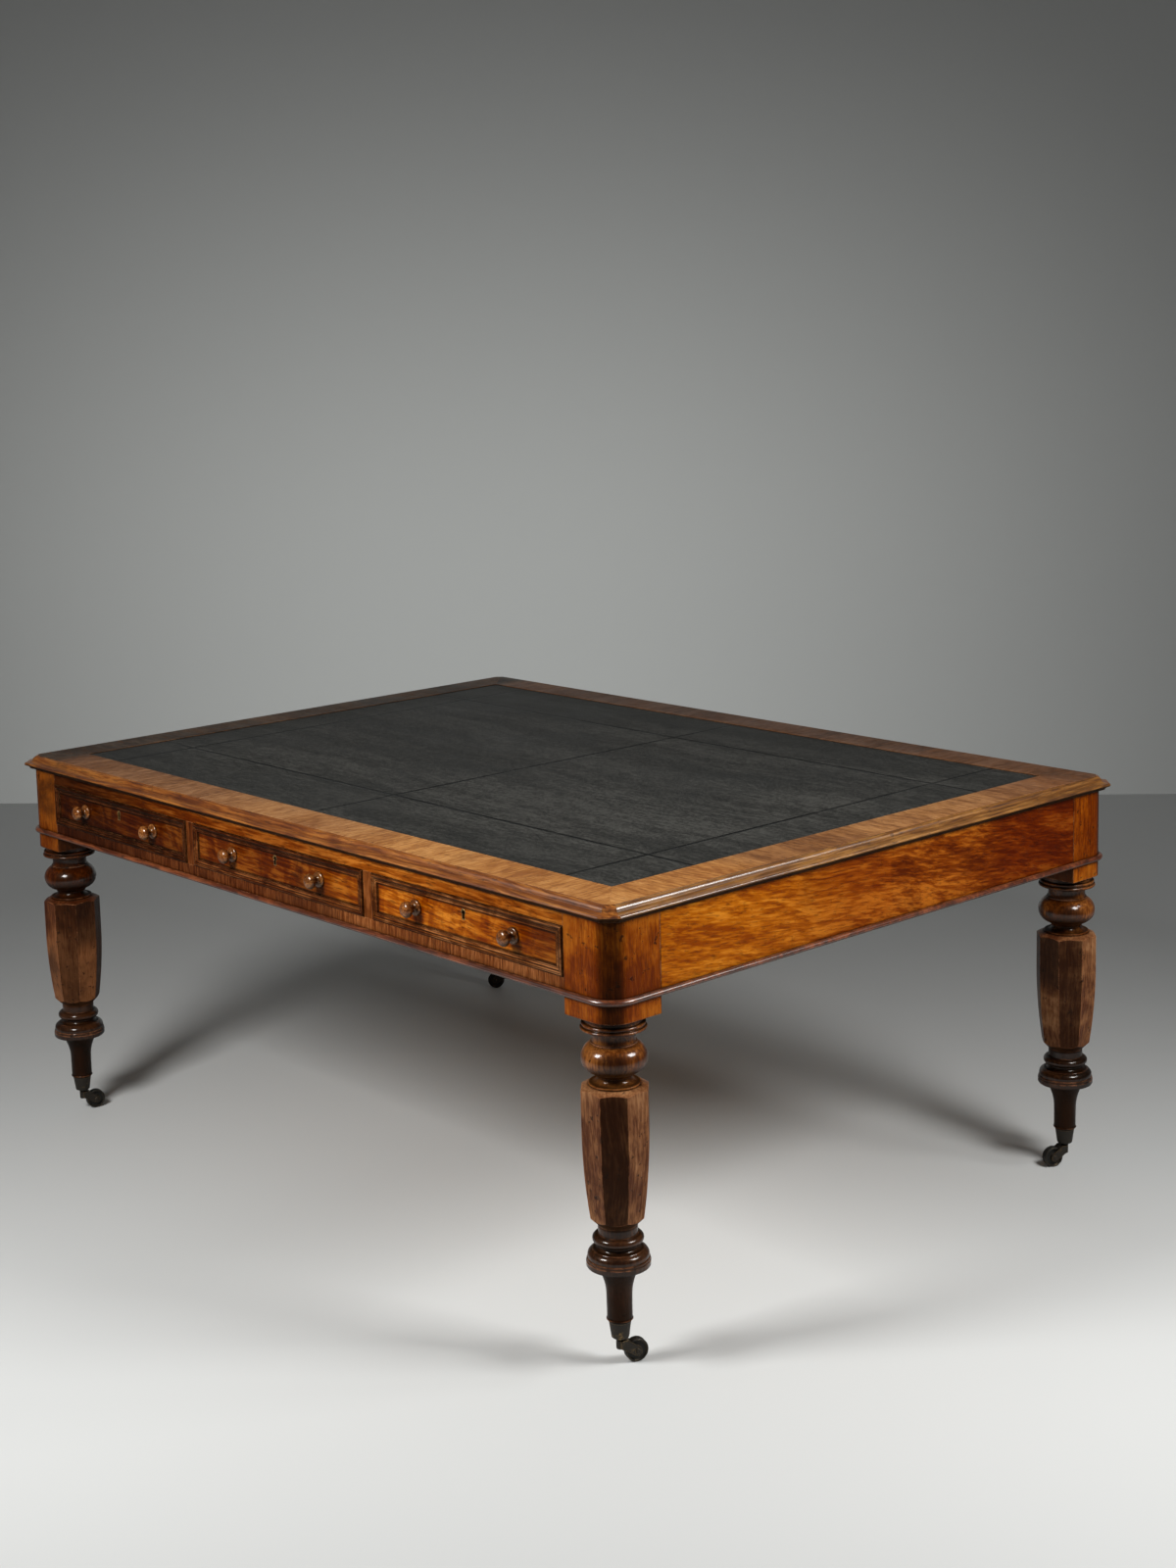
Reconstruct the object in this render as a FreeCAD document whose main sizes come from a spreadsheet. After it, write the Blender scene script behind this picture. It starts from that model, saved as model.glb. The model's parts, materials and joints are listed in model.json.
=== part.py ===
import FreeCAD
import Part
import Sketcher
import os
import re

# A mahogany library table with a leather top, drawers in both long sides and a caster under each leg.
# Millimetres. The origin is on the floor under the middle of the table, X runs along its length,
# the front is the -Y side and Z is up.
doc = FreeCAD.newDocument("WritingTable")

sizes = {
    # the whole table
    "TableLength": 1780,
    "TableDepth": 1302,
    "TableHeight": 760,
    # top
    "BoardThickness": 22,
    "BorderThickness": 3,
    "BorderWidth": 80,
    "LeatherThickness": 2.2,
    "EdgeWidth": 24,
    "EdgeOverhang": 14,
    "CornerClip": 11.5,
    # frieze
    "PostWidth": 106,
    "PostRadius": 42,
    "TopRailHeight": 22,
    "TopRailDepth": 60,
    "BottomRailHeight": 29,
    "BottomRailDepth": 50,
    "DrawerOpeningHeight": 82,
    "DividerWidth": 24,
    "MiddleDrawerWidth": 524,
    "EndRailThickness": 27,
    "TenonLength": 26,
    "TenonThickness": 12,
    "TenonShoulder": 5,
    "BeadHeight": 10,
    "BeadProjection": 9,
    # inside the frieze
    "BearerThickness": 30,
    "RunnerWidth": 30,
    "RunnerHeight": 20,
    "GuideHeight": 24,
    "StopLength": 30,
    "StopWidth": 12,
    "StopHeight": 5,
    "StopGap": 0.2,
    "ScrewRadius": 2.5,
    "ScrewHeadRadius": 5,
    "ScrewHeadHeight": 3,
    "ScrewLength": 37,
    "ScrewSlotWidth": 1.2,
    "ScrewSlotDepth": 1,
    "ScrewSpacing": 330,
    # legs, heights above the floor
    "BlockBottom": 572,
    "BallTop": 528,
    "BallBottom": 480,
    "OctagonTop": 461,
    "TaperTop": 385,
    "OctagonBottom": 233.5,
    "CollarBottom": 163.5,
    "LegShoulder": 74,
    "TurningRadius": 52.5,
    "OctagonWidth": 104.4,
    "OctagonFootWidth": 79.6,
    "SpigotTopRadius": 16.8,
    "SpigotTipRadius": 12.4,
    # casters
    "CupRadius": 18.6,
    "CupFootRadius": 14.4,
    "CupLip": 3,
    "CupHeight": 30,
    "CupFloor": 8,
    "RivetPocketRadius": 7.5,
    "RivetPocketDepth": 3,
    "StemRadius": 4,
    "RivetRadius": 6.3,
    "RivetHeight": 2.2,
    "NeckRadius": 5.6,
    "NeckHeight": 4,
    "HubRadius": 6.9,
    "HubHeight": 15,
    "WheelRadius": 19,
    "WheelWidth": 14,
    "WheelTrail": 26,
    "HubBossRadius": 7.5,
    "CheekThickness": 3,
    "AxleRadius": 3,
    "AxleHeadRadius": 4.6,
    "AxleHeadHeight": 1.4,
    # drawers
    "DrawerLength": 540,
    "FrontThickness": 22,
    "FrontSetback": 1,
    "SideThickness": 10,
    "SideHeight": 77,
    "BackThickness": 10,
    "DovetailLength": 15,
    "BottomThickness": 6,
    "BottomHeight": 6,
    "GrooveDepth": 5,
    "FrameWidth": 14,
    "FrameHeight": 4.5,
    "KnobRadius": 13.8,
    "KnobProjection": 29,
    "KnobRise": 2,
    "KnobSpigotRadius": 6,
    "KeyholeHeight": 20,
    "KeyholeWidth": 10.4,
    "KeyholeRise": 14,
    "EscutcheonRim": 1.5,
    "LockWidth": 60,
    "LockHeight": 40,
    "LockDepth": 11,
    "LockPlateThickness": 2,
    # clearances
    "DrawerSideGap": 1,
    "DrawerHeightGap": 0.8,
    "DrawerSeat": 0.3,
    "RunningFit": 0.05,
    "WheelSideGap": 0.4,
    "WheelRimGap": 1.2,
    "SwivelGap": 0.3,
    "SpigotGap": 0.2,
    "Overrun": 2,
}

# Where things are, worked out from the sizes.
places = {
    "FriezeX": "TableLength / 2 - EdgeOverhang",
    "FriezeY": "TableDepth / 2 - EdgeOverhang",
    "FlatX": "TableLength / 2 - EdgeWidth",
    "FlatY": "TableDepth / 2 - EdgeWidth",
    "LeatherX": "FlatX - BorderWidth",
    "LeatherY": "FlatY - BorderWidth",
    "LegX": "FriezeX - PostWidth / 2",
    "LegY": "FriezeY - PostWidth / 2",
    "InnerX": "FriezeX - PostWidth",
    "InnerY": "FriezeY - PostWidth",
    "BoardTop": "TableHeight - BorderThickness",
    "FriezeTop": "BoardTop - BoardThickness",
    "OpeningTop": "FriezeTop - TopRailHeight",
    "OpeningBottom": "OpeningTop - DrawerOpeningHeight",
    "FriezeBottom": "OpeningBottom - BottomRailHeight",
    "RunnerBottom": "OpeningBottom - RunnerHeight",
    "GuideTop": "OpeningBottom + GuideHeight",
    "BearerFace": "BearerThickness / 2",
    "DividerInner": "MiddleDrawerWidth / 2",
    "DividerOuter": "DividerInner + DividerWidth",
    "SideDrawerWidth": "InnerX - DividerOuter",
    "SideDrawerX": "(InnerX + DividerOuter) / 2",
    "CupBottom": "LegShoulder - CupHeight",
    "CupFloorTop": "CupBottom + CupFloor",
    "CrownTop": "CupBottom - SwivelGap",
    "HubTop": "CrownTop - NeckHeight",
    "HubBottom": "HubTop - HubHeight",
    "WheelGap": "WheelWidth / 2 + WheelSideGap",
    "ForkHalfWidth": "WheelGap + CheekThickness",
    "BoardBack": "FrontSetback + FrontThickness",
    "TailTip": "BoardBack - DovetailLength",
    "SideBottom": "OpeningBottom + DrawerSeat",
    "SideTop": "SideBottom + SideHeight",
    "BottomLow": "SideBottom + BottomHeight",
    "BottomHigh": "BottomLow + BottomThickness",
    "FrontLow": "OpeningBottom + DrawerHeightGap",
    "FrontHigh": "OpeningTop - DrawerHeightGap",
    "DrawerMiddle": "(OpeningTop + OpeningBottom) / 2",
}

sheet = doc.addObject("Spreadsheet::Sheet", "Sizes")
for row, (alias, amount) in enumerate(sizes.items(), start=1):
    sheet.set(f"A{row}", alias)
    sheet.set(f"B{row}", str(amount))
    sheet.setAlias(f"B{row}", alias)

cells = {alias: f"Sizes.{alias}" for alias in sizes}
cells.update({alias: f"Places.{alias}" for alias in places})


def bind(formula, own_sheet=""):
    """Points each size or place that a formula names at its own cell."""
    return re.sub(r"[A-Z]\w+", lambda found: cells[found.group()].replace(own_sheet, ""), formula)


place_sheet = doc.addObject("Spreadsheet::Sheet", "Places")
for row, (alias, formula) in enumerate(places.items(), start=1):
    place_sheet.set(f"A{row}", alias)
    place_sheet.set(f"B{row}", "=" + bind(formula, "Places."))
    place_sheet.setAlias(f"B{row}", alias)
doc.recompute()

subparts = []


def amount_of(formula):
    return float(sheet.evalExpression(bind(formula)))


def keep(piece, label):
    """Names a sub-part and puts it on the list of those that are written."""
    piece.Label = label
    subparts.append(piece)
    return piece


def set_place(piece, x="0", y="0", z="0", turn=0, axis=(0, 0, 1)):
    piece.Placement = FreeCAD.Placement(FreeCAD.Vector(), FreeCAD.Rotation(FreeCAD.Vector(*axis), turn))
    for letter, formula in zip("xyz", (x, y, z)):
        piece.setExpression(f"Placement.Base.{letter}", bind(formula))
    return piece


def set_box(piece, x, y, z):
    """Sizes a box from its low and high formula along each axis."""
    for side, (low, high) in zip(("Length", "Width", "Height"), (x, y, z)):
        piece.setExpression(side, bind(f"({high}) - ({low})"))
    return set_place(piece, x[0], y[0], z[0])


def plain_box(name, x, y, z):
    return set_box(doc.addObject("Part::Box", name), x, y, z)


def new_body(name):
    return doc.addObject("PartDesign::Body", name)


def add_box(body, name, x, y, z):
    return set_box(body.newObject("PartDesign::AdditiveBox", name), x, y, z)


def cut_box(body, name, x, y, z):
    return set_box(body.newObject("PartDesign::SubtractiveBox", name), x, y, z)


def add_cylinder(body, name, radius, low, high, kind="PartDesign::AdditiveCylinder"):
    """A cylinder on the body's Z axis between two heights."""
    piece = body.newObject(kind, name)
    piece.setExpression("Radius", bind(radius))
    piece.setExpression("Height", bind(f"({high}) - ({low})"))
    return set_place(piece, z=low)


def new_sketch(body, name, plane, offset="0"):
    """A sketch on one of the body's own origin planes, moved along that plane's normal."""
    sketch = body.newObject("Sketcher::SketchObject", name)
    planes = {feature.Role: feature for feature in body.Origin.OriginFeatures}
    sketch.AttachmentSupport = (planes[plane], [""])
    sketch.MapMode = "FlatFace"
    sketch.setExpression("AttachmentOffset.Base.z", bind(offset))
    return sketch


def pin(sketch, geometry, end, across, up):
    """Fixes one point of a sketch by its two formulas."""
    for kind, formula, axis in (("DistanceX", across, -2), ("DistanceY", up, -1)):
        if formula == "0":
            sketch.addConstraint(Sketcher.Constraint("PointOnObject", geometry, end, axis))
        else:
            amount = amount_of(formula)
            row = sketch.addConstraint(Sketcher.Constraint(kind, -1, 1, geometry, end, amount))
            sketch.setExpression(f"Constraints[{row}]", bind(formula))


def draw_outline(sketch, corners):
    """Draws a closed outline. Each corner is (across, up) or (across, up, bulge), where the bulge is the
    tangent of a quarter of the angle of the arc to the next corner, and more than 0 if it turns left."""
    first = sketch.GeometryCount
    corners = [corner if len(corner) == 3 else (*corner, 0) for corner in corners]
    spots = [FreeCAD.Vector(amount_of(across), amount_of(up), 0) for across, up, _ in corners]
    ends = []
    for index, (across, up, bulge) in enumerate(corners):
        start = spots[index]
        stop = spots[(index + 1) % len(spots)]
        if bulge == 0:
            sketch.addGeometry(Part.LineSegment(start, stop), False)
            ends.append((1, 2))
            continue
        chord = stop - start
        middle = (start + stop) / 2 + FreeCAD.Vector(chord.y, -chord.x, 0) * bulge / 2
        edge = Part.Arc(start, middle, stop) if bulge > 0 else Part.Arc(stop, middle, start)
        sketch.addGeometry(edge, False)
        ends.append((1, 2) if bulge > 0 else (2, 1))
    for index, (across, up, bulge) in enumerate(corners):
        geometry = first + index
        before = first + (index - 1) % len(corners)
        start_end = ends[index][0]
        last_end = ends[(index - 1) % len(corners)][1]
        sketch.addConstraint(Sketcher.Constraint("Coincident", before, last_end, geometry, start_end))
        pin(sketch, geometry, start_end, across, up)
        if bulge == 0:
            continue
        # One more formula fixes the arc: the place of its centre along the steeper direction.
        next_across, next_up, _ = corners[(index + 1) % len(corners)]
        lift_share = (1 - bulge * bulge) / (4 * bulge)
        chord = spots[(index + 1) % len(spots)] - spots[index]
        if abs(chord.y) > abs(chord.x):
            formula = f"(({across}) + ({next_across})) / 2 - (({next_up}) - ({up})) * {lift_share}"
            kind = "DistanceX"
        else:
            formula = f"(({up}) + ({next_up})) / 2 + (({next_across}) - ({across})) * {lift_share}"
            kind = "DistanceY"
        row = sketch.addConstraint(Sketcher.Constraint(kind, -1, 1, geometry, 3, amount_of(formula)))
        sketch.setExpression(f"Constraints[{row}]", bind(formula))


def draw_circle(sketch, across, up, radius):
    centre = FreeCAD.Vector(amount_of(across), amount_of(up), 0)
    circle = sketch.addGeometry(Part.Circle(centre, FreeCAD.Vector(0, 0, 1), amount_of(radius)), False)
    pin(sketch, circle, 3, across, up)
    row = sketch.addConstraint(Sketcher.Constraint("Radius", circle, amount_of(radius)))
    sketch.setExpression(f"Constraints[{row}]", bind(radius))


def pad(body, name, sketch, length, symmetric=False):
    feature = body.newObject("PartDesign::Pad", name)
    feature.Profile = sketch
    if symmetric:
        feature.SideType = "Symmetric"
    feature.setExpression("Length", bind(length))
    return feature


def pocket(body, name, sketch, length=None, reverse=False):
    """Cuts a sketch out of the body: right through it both ways, or by a length to one side."""
    feature = body.newObject("PartDesign::Pocket", name)
    feature.Profile = sketch
    if length is None:
        feature.Type = "ThroughAll"
        feature.SideType = "Symmetric"
    else:
        feature.setExpression("Length", bind(length))
        feature.Reversed = reverse
    return feature


def turned(body, name, outline, angle=360):
    """Turns an outline of (radius, height) corners about the body's Z axis."""
    sketch = new_sketch(body, name + "_outline", "XZ_Plane")
    draw_outline(sketch, outline)
    feature = body.newObject("PartDesign::Revolution", name)
    feature.Profile = sketch
    feature.ReferenceAxis = (sketch, ["V_Axis"])
    feature.Angle = angle
    return feature


def linked(source, name):
    """One more of a piece that is made already."""
    link = doc.addObject("App::Link", name)
    link.LinkedObject = source
    return link


def group(label, pieces):
    compound = doc.addObject("Part::Compound", label)
    compound.Links = pieces
    return keep(compound, label)


# Corners and sides: the signs of X and Y, and the turn about Z that brings the front right one there.
corner_signs = {
    "front_left": (-1, -1),
    "front_right": (1, -1),
    "back_right": (1, 1),
    "back_left": (-1, 1),
}
corner_turns = {"front_right": 0, "back_right": 90, "back_left": 180, "front_left": 270}
side_turns = {"front": 0, "right": 90, "back": 180, "left": 270}
mitre_share = 2**0.5 - 1  # tangent of half the turn at each end of a clipped corner
quarter_share = 2**0.5 - 1  # bulge of a quarter circle

# Leather, border and board of the top.
leather = new_body("leather_writing_surface")
leather_sketch = new_sketch(leather, "leather_outline", "XY_Plane", "BoardTop")
leather_corners = [("-LeatherX", "-LeatherY"), ("LeatherX", "-LeatherY"), ("LeatherX", "LeatherY"),
                   ("-LeatherX", "LeatherY")]
draw_outline(leather_sketch, leather_corners)
pad(leather, "leather_skin", leather_sketch, "LeatherThickness")
keep(leather, "leather_writing_surface")


def clipped_rectangle(half_x, half_y, clip):
    return [
        (f"-({half_x} - {clip})", f"-{half_y}"),
        (f"{half_x} - {clip}", f"-{half_y}"),
        (half_x, f"-({half_y} - {clip})"),
        (half_x, f"{half_y} - {clip}"),
        (f"{half_x} - {clip}", half_y),
        (f"-({half_x} - {clip})", half_y),
        (f"-{half_x}", f"{half_y} - {clip}"),
        (f"-{half_x}", f"-({half_y} - {clip})"),
    ]


# Screws stand in the top rails and hold the board, in a row along each long side.
screw_steps = (-2, -1, 0, 1, 2)
screw_spots = [
    (f"ScrewSpacing * {step}", f"{sign} * (FriezeY - TopRailDepth / 2)")
    for sign in (-1, 1)
    for step in screw_steps
]

board = new_body("top_board")
board_sketch = new_sketch(board, "board_outline", "XY_Plane", "FriezeTop")
draw_outline(board_sketch, clipped_rectangle("FlatX", "FlatY", "CornerClip"))
pad(board, "board_slab", board_sketch, "BoardThickness")
pilot_sketch = new_sketch(board, "pilot_circles", "XY_Plane", "FriezeTop")
for across, up in screw_spots:
    draw_circle(pilot_sketch, across, up, "ScrewRadius")
pocket(board, "pilot_holes", pilot_sketch, "ScrewLength - TopRailHeight", reverse=True)
keep(board, "top_board")


def border_piece(side, along, across, leather_along):
    """A mitred strip of crossbanding. The corner's clip takes the tip off each mitre."""
    body = new_body(f"border_{side}")
    sketch = new_sketch(body, f"border_{side}_outline", "XY_Plane", "BoardTop")
    draw_outline(sketch, [
        (f"-({along} - CornerClip)", f"-{across}"),
        (f"{along} - CornerClip", f"-{across}"),
        (f"{along} - CornerClip / 2", f"-({across} - CornerClip / 2)"),
        (leather_along, f"-({across} - BorderWidth)"),
        (f"-{leather_along}", f"-({across} - BorderWidth)"),
        (f"-({along} - CornerClip / 2)", f"-({across} - CornerClip / 2)"),
    ])
    pad(body, f"border_{side}_band", sketch, "BorderThickness")
    set_place(body, turn=side_turns[side])
    keep(body, f"border_{side}")


for side in ("front", "back"):
    border_piece(side, "FlatX", "FlatY", "LeatherX")
for side in ("right", "left"):
    border_piece(side, "FlatY", "FlatX", "LeatherY")

# Section of the moulded edge, as shares of its width and of the depth from the top to the frieze: a step,
# an ovolo, a shallow hollow, a rounded nose and a hollow underside.
edge_section_shares = [
    (0, 0, 0),
    (0, 1, 0),
    (0.02, 1, 0),
    (0.03, 0.955, -0.36),
    (0.36, 0.66, 0),
    (0.38, 0.61, 0.16),
    (0.8667, 0.50, -1),
    (0.8667, 0.244, 0),
    (0.75, 0.19, 0.25),
    (0.583, 0, 0),
]


def mitred_strip(name, section, depth, half_length, slope):
    """A moulded strip along X whose section points are (outward, up), with outward along -Y. Its ends are
    mitred so that each grows by the slope times the distance outward."""
    body = new_body(name)
    reach = f"({half_length}) + ({depth}) * {slope}"
    section_sketch = new_sketch(body, name + "_section", "YZ_Plane")
    draw_outline(section_sketch, [(f"-({out})", up, -bulge) for out, up, bulge in section])
    pad(body, name + "_length", section_sketch, f"2 * ({reach})", symmetric=True)
    mitre_sketch = new_sketch(body, name + "_mitres", "XY_Plane")
    for sign in (-1, 1):
        draw_outline(mitre_sketch, [
            (f"{sign} * ({half_length} - Overrun * {slope})", "Overrun"),
            (f"{sign} * ({reach} + Overrun * {slope})", f"-({depth} + Overrun)"),
            (f"{sign} * ({reach} + Overrun * {slope + 1})", f"-({depth} + Overrun)"),
            (f"{sign} * ({reach} + Overrun * {slope + 1})", "Overrun"),
        ])
    pocket(body, name + "_ends", mitre_sketch)
    return body


edge_section = [
    (f"EdgeWidth * {out}", f"FriezeTop + (TableHeight - FriezeTop) * {up}", bulge)
    for out, up, bulge in edge_section_shares
]
for side, base, along in (("front", "FlatY", "FlatX"), ("back", "FlatY", "FlatX"),
                          ("right", "FlatX", "FlatY"), ("left", "FlatX", "FlatY")):
    strip = mitred_strip(f"edge_moulding_{side}", edge_section, "EdgeWidth", f"{along} - CornerClip",
                         mitre_share)
    across = {"front": ("0", f"-{base}"), "back": ("0", base), "right": (base, "0"),
              "left": (f"-{base}", "0")}[side]
    set_place(strip, *across, turn=side_turns[side])
    keep(strip, f"edge_moulding_{side}")

clip_strip = mitred_strip("edge_moulding_clip", edge_section, "EdgeWidth", "CornerClip / sqrt(2)",
                          mitre_share)
clip_strips = []
for corner, (sign_x, sign_y) in corner_signs.items():
    piece = linked(clip_strip, f"edge_moulding_{corner}")
    set_place(piece, f"{sign_x} * (FlatX - CornerClip / 2)", f"{sign_y} * (FlatY - CornerClip / 2)",
              turn=corner_turns[corner] + 45)
    clip_strips.append(piece)
group("edge_moulding_corners", clip_strips)

# The bead round the foot of the frieze: straight lengths between the posts' rounded corners, and a quarter
# turn round each of them.
bead_section_shares = [(0, 0, 0), (0.42, 0, 0), (0.42, 0.05, 0.95), (0.42, 0.95, 0), (0.42, 1, 0), (0, 1, 0)]


def bead_section(start):
    return [
        (f"{start} + BeadProjection * {out}", f"FriezeBottom + BeadHeight * {up}", bulge)
        for out, up, bulge in bead_section_shares
    ]


bead_pieces = []
for side, along, place in (("front", "FriezeX", ("0", "-FriezeY")), ("back", "FriezeX", ("0", "FriezeY")),
                           ("right", "FriezeY", ("FriezeX", "0")), ("left", "FriezeY", ("-FriezeX", "0"))):
    bead = new_body(f"bead_{side}")
    bead_sketch = new_sketch(bead, f"bead_{side}_section", "YZ_Plane")
    draw_outline(bead_sketch, [(f"-({out})", up, -bulge) for out, up, bulge in bead_section("0")])
    pad(bead, f"bead_{side}_length", bead_sketch, f"2 * ({along} - PostRadius)", symmetric=True)
    bead_pieces.append(set_place(bead, *place, turn=side_turns[side]))
bead_corner = new_body("bead_corner")
turned(bead_corner, "bead_quarter", bead_section("PostRadius"), angle=90)
for corner, (sign_x, sign_y) in corner_signs.items():
    piece = linked(bead_corner, f"bead_{corner}")
    set_place(piece, f"{sign_x} * (FriezeX - PostRadius)", f"{sign_y} * (FriezeY - PostRadius)",
              turn=corner_turns[corner] - 90)
    bead_pieces.append(piece)
group("frieze_bead", bead_pieces)

# Rails of the frieze. Each has a tenon at both ends that fills a mortise in the post.
tenon_reach = "InnerX + TenonLength"
long_rails = {
    "top": ("TopRailDepth", "OpeningTop", "FriezeTop"),
    "bottom": ("BottomRailDepth", "FriezeBottom", "OpeningBottom"),
}
for side, sign in (("front", -1), ("back", 1)):
    for level, (depth, low, high) in long_rails.items():
        name = f"{side}_{level}_rail"
        rail = new_body(name)
        edges = ["-FriezeY", f"-FriezeY + {depth}"] if sign < 0 else [f"FriezeY - {depth}", "FriezeY"]
        add_box(rail, name + "_bar", ("-InnerX", "InnerX"), tuple(edges), (low, high))
        middle = f"{sign} * (FriezeY - {depth} / 2)"
        add_box(rail, name + "_tenons", (f"-({tenon_reach})", tenon_reach),
                (f"{middle} - TenonThickness / 2", f"{middle} + TenonThickness / 2"),
                (f"{low} + TenonShoulder", f"{high} - TenonShoulder"))
        if level == "top":
            for use, radius, cut_depth in (("shank", "ScrewRadius", "TopRailHeight"),
                                           ("head", "ScrewHeadRadius", "ScrewHeadHeight")):
                hole_sketch = new_sketch(rail, f"{name}_{use}_circles", "XY_Plane", "OpeningTop")
                for step in screw_steps:
                    draw_circle(hole_sketch, f"ScrewSpacing * {step}",
                                f"{sign} * (FriezeY - TopRailDepth / 2)", radius)
                pocket(rail, f"{name}_{use}_holes", hole_sketch, cut_depth, reverse=True)
        keep(rail, name)

end_rail_middle = "FriezeX - EndRailThickness / 2"
end_tenon_z = ("FriezeBottom + BottomRailHeight", "FriezeTop - TopRailHeight")
for side, sign in (("left", -1), ("right", 1)):
    name = f"{side}_end_rail"
    rail = new_body(name)
    faces = ["FriezeX - EndRailThickness", "FriezeX"] if sign > 0 else ["-FriezeX",
                                                                      "-FriezeX + EndRailThickness"]
    add_box(rail, name + "_board", tuple(faces), ("-InnerY", "InnerY"), ("FriezeBottom", "FriezeTop"))
    add_box(rail, name + "_tenons",
            (f"{sign} * ({end_rail_middle}) - TenonThickness / 2",
             f"{sign} * ({end_rail_middle}) + TenonThickness / 2"),
            ("-(InnerY + TenonLength)", "InnerY + TenonLength"), end_tenon_z)
    keep(rail, name)

# Inside the frieze: dividers between the drawers, a long bearer, and runners and kickers from the long
# rails back to it.
dividers = []
for side, low, high in (("front", "-FriezeY", "-FriezeY + BottomRailDepth"),
                        ("back", "FriezeY - BottomRailDepth", "FriezeY")):
    for hand, left, right in (("left", "-DividerOuter", "-DividerInner"),
                              ("right", "DividerInner", "DividerOuter")):
        dividers.append(plain_box(f"divider_{side}_{hand}", (left, right), (low, high),
                                  ("OpeningBottom", "OpeningTop")))
group("drawer_dividers", dividers)

keep(plain_box("centre_bearer",
               ("-(FriezeX - EndRailThickness)", "FriezeX - EndRailThickness"),
               ("-BearerFace", "BearerFace"), ("RunnerBottom", "FriezeTop")), "centre_bearer")


def span_y(sign, outer, inner="BearerFace"):
    """Y from an inner place to an outer one, on the front or the back half."""
    return (f"-({outer})", f"-({inner})") if sign < 0 else (inner, outer)


def span_x(sign, inner, outer):
    return (f"-({outer})", f"-({inner})") if sign < 0 else (inner, outer)


runners = []
kickers = []
for side, sign_y in (("front", -1), ("back", 1)):
    runner_y = span_y(sign_y, "FriezeY - BottomRailDepth")
    kicker_y = span_y(sign_y, "FriezeY - TopRailDepth")
    for hand, sign_x in (("left", -1), ("right", 1)):
        name = f"{side}_{hand}"
        end_x = span_x(sign_x, "InnerX - RunnerWidth", "InnerX")
        runners.append(plain_box(f"end_runner_{name}", end_x, runner_y, ("RunnerBottom", "OpeningBottom")))
        runners.append(plain_box(f"end_guide_{name}",
                                 span_x(sign_x, "InnerX", "FriezeX - EndRailThickness"),
                                 span_y(sign_y, "InnerY"), ("RunnerBottom", "GuideTop")))
        shared = new_body(f"shared_runner_{name}")
        wide_x = span_x(sign_x, "DividerInner - RunnerWidth", "DividerOuter + RunnerWidth")
        add_box(shared, f"shared_strip_{name}", wide_x, runner_y, ("RunnerBottom", "OpeningBottom"))
        add_box(shared, f"shared_guide_{name}", span_x(sign_x, "DividerInner", "DividerOuter"), runner_y,
                ("RunnerBottom", "GuideTop"))
        runners.append(shared)
        kickers.append(plain_box(f"end_kicker_{name}", end_x, kicker_y, ("OpeningTop", "FriezeTop")))
        kickers.append(plain_box(f"shared_kicker_{name}", wide_x, kicker_y, ("OpeningTop", "FriezeTop")))
group("drawer_kickers", kickers)

# Two stops stand on the bottom rail behind each drawer's front board and hold the shut drawer in its place.
drawer_rows = {
    "left": ("SideDrawerWidth", "-SideDrawerX"),
    "middle": ("MiddleDrawerWidth", "0"),
    "right": ("SideDrawerWidth", "SideDrawerX"),
}
stop_spread_share = 0.32
for side, sign_y in (("front", -1), ("back", 1)):
    stop_face = "FriezeY - BoardBack - StopGap"
    stop_y = span_y(sign_y, stop_face, f"{stop_face} - StopWidth")
    for place, (width, centre_x) in drawer_rows.items():
        for hand, sign_x in (("left", -1), ("right", 1)):
            middle = f"{centre_x} + {sign_x} * {width} * {stop_spread_share}"
            stop_x = (f"{middle} - StopLength / 2", f"{middle} + StopLength / 2")
            runners.append(plain_box(f"stop_{side}_{place}_{hand}", stop_x, stop_y,
                                     ("OpeningBottom", "OpeningBottom + StopHeight")))
group("drawer_runners_and_stops", runners)

# Slotted screws, heads down in the rails.
screw = new_body("screw")
add_cylinder(screw, "screw_head", "ScrewHeadRadius", "0", "ScrewHeadHeight")
add_cylinder(screw, "screw_shank", "ScrewRadius", "0", "ScrewLength")
cut_box(screw, "screw_slot", ("-ScrewHeadRadius - Overrun", "ScrewHeadRadius + Overrun"),
        ("-ScrewSlotWidth / 2", "ScrewSlotWidth / 2"), ("-Overrun", "ScrewSlotDepth"))
screws = []
for number, (across, up) in enumerate(screw_spots, start=1):
    screws.append(set_place(linked(screw, f"top_screw_{number}"), across, up, "OpeningTop"))
group("top_screws", screws)

# The leg's turning from the cup up: (share of the greatest radius, share of the height between two named
# heights, bulge to the next corner).
foot_shares = [(0.35, 0, 0), (0.36, 0.006, 0.4), (0.411, 0.03, -0.2), (0.386, 0.08, 0), (0.392, 0.436, -0.15)]
collar_shares = [
    (0.66, 0, 0), (0.91, 0.01, 0.41), (0.975, 0.06, 0), (0.975, 0.148, 0), (0.95, 0.155, 0),
    (0.95, 0.165, 0.3), (0.95, 0.215, 0), (0.925, 0.22, 0), (0.925, 0.228, 0.42), (0.79, 0.42, 0),
    (0.777, 0.43, 0), (0.74, 0.437, -0.5), (0.61, 0.54, 0), (0.655, 0.56, 0.93), (0.64, 0.77, 0),
    (0.602, 0.775, 0),
]
octagon_shares = [(0.602, 0, 0), (1.092, 0.114, 0), (1.092, 0.972, 0), (0.83, 1, 0)]
ring_shares = [(0.765, 0.02, 0.9), (0.765, 0.20, 0), (0.73, 0.21, -0.42), (0.50, 0.64, 0), (0.50, 0.72, 0),
               (0.555, 0.74, 0)]
ball_shares = [(0.59, 0, 0.78), (0.69, 1, 0)]
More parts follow.
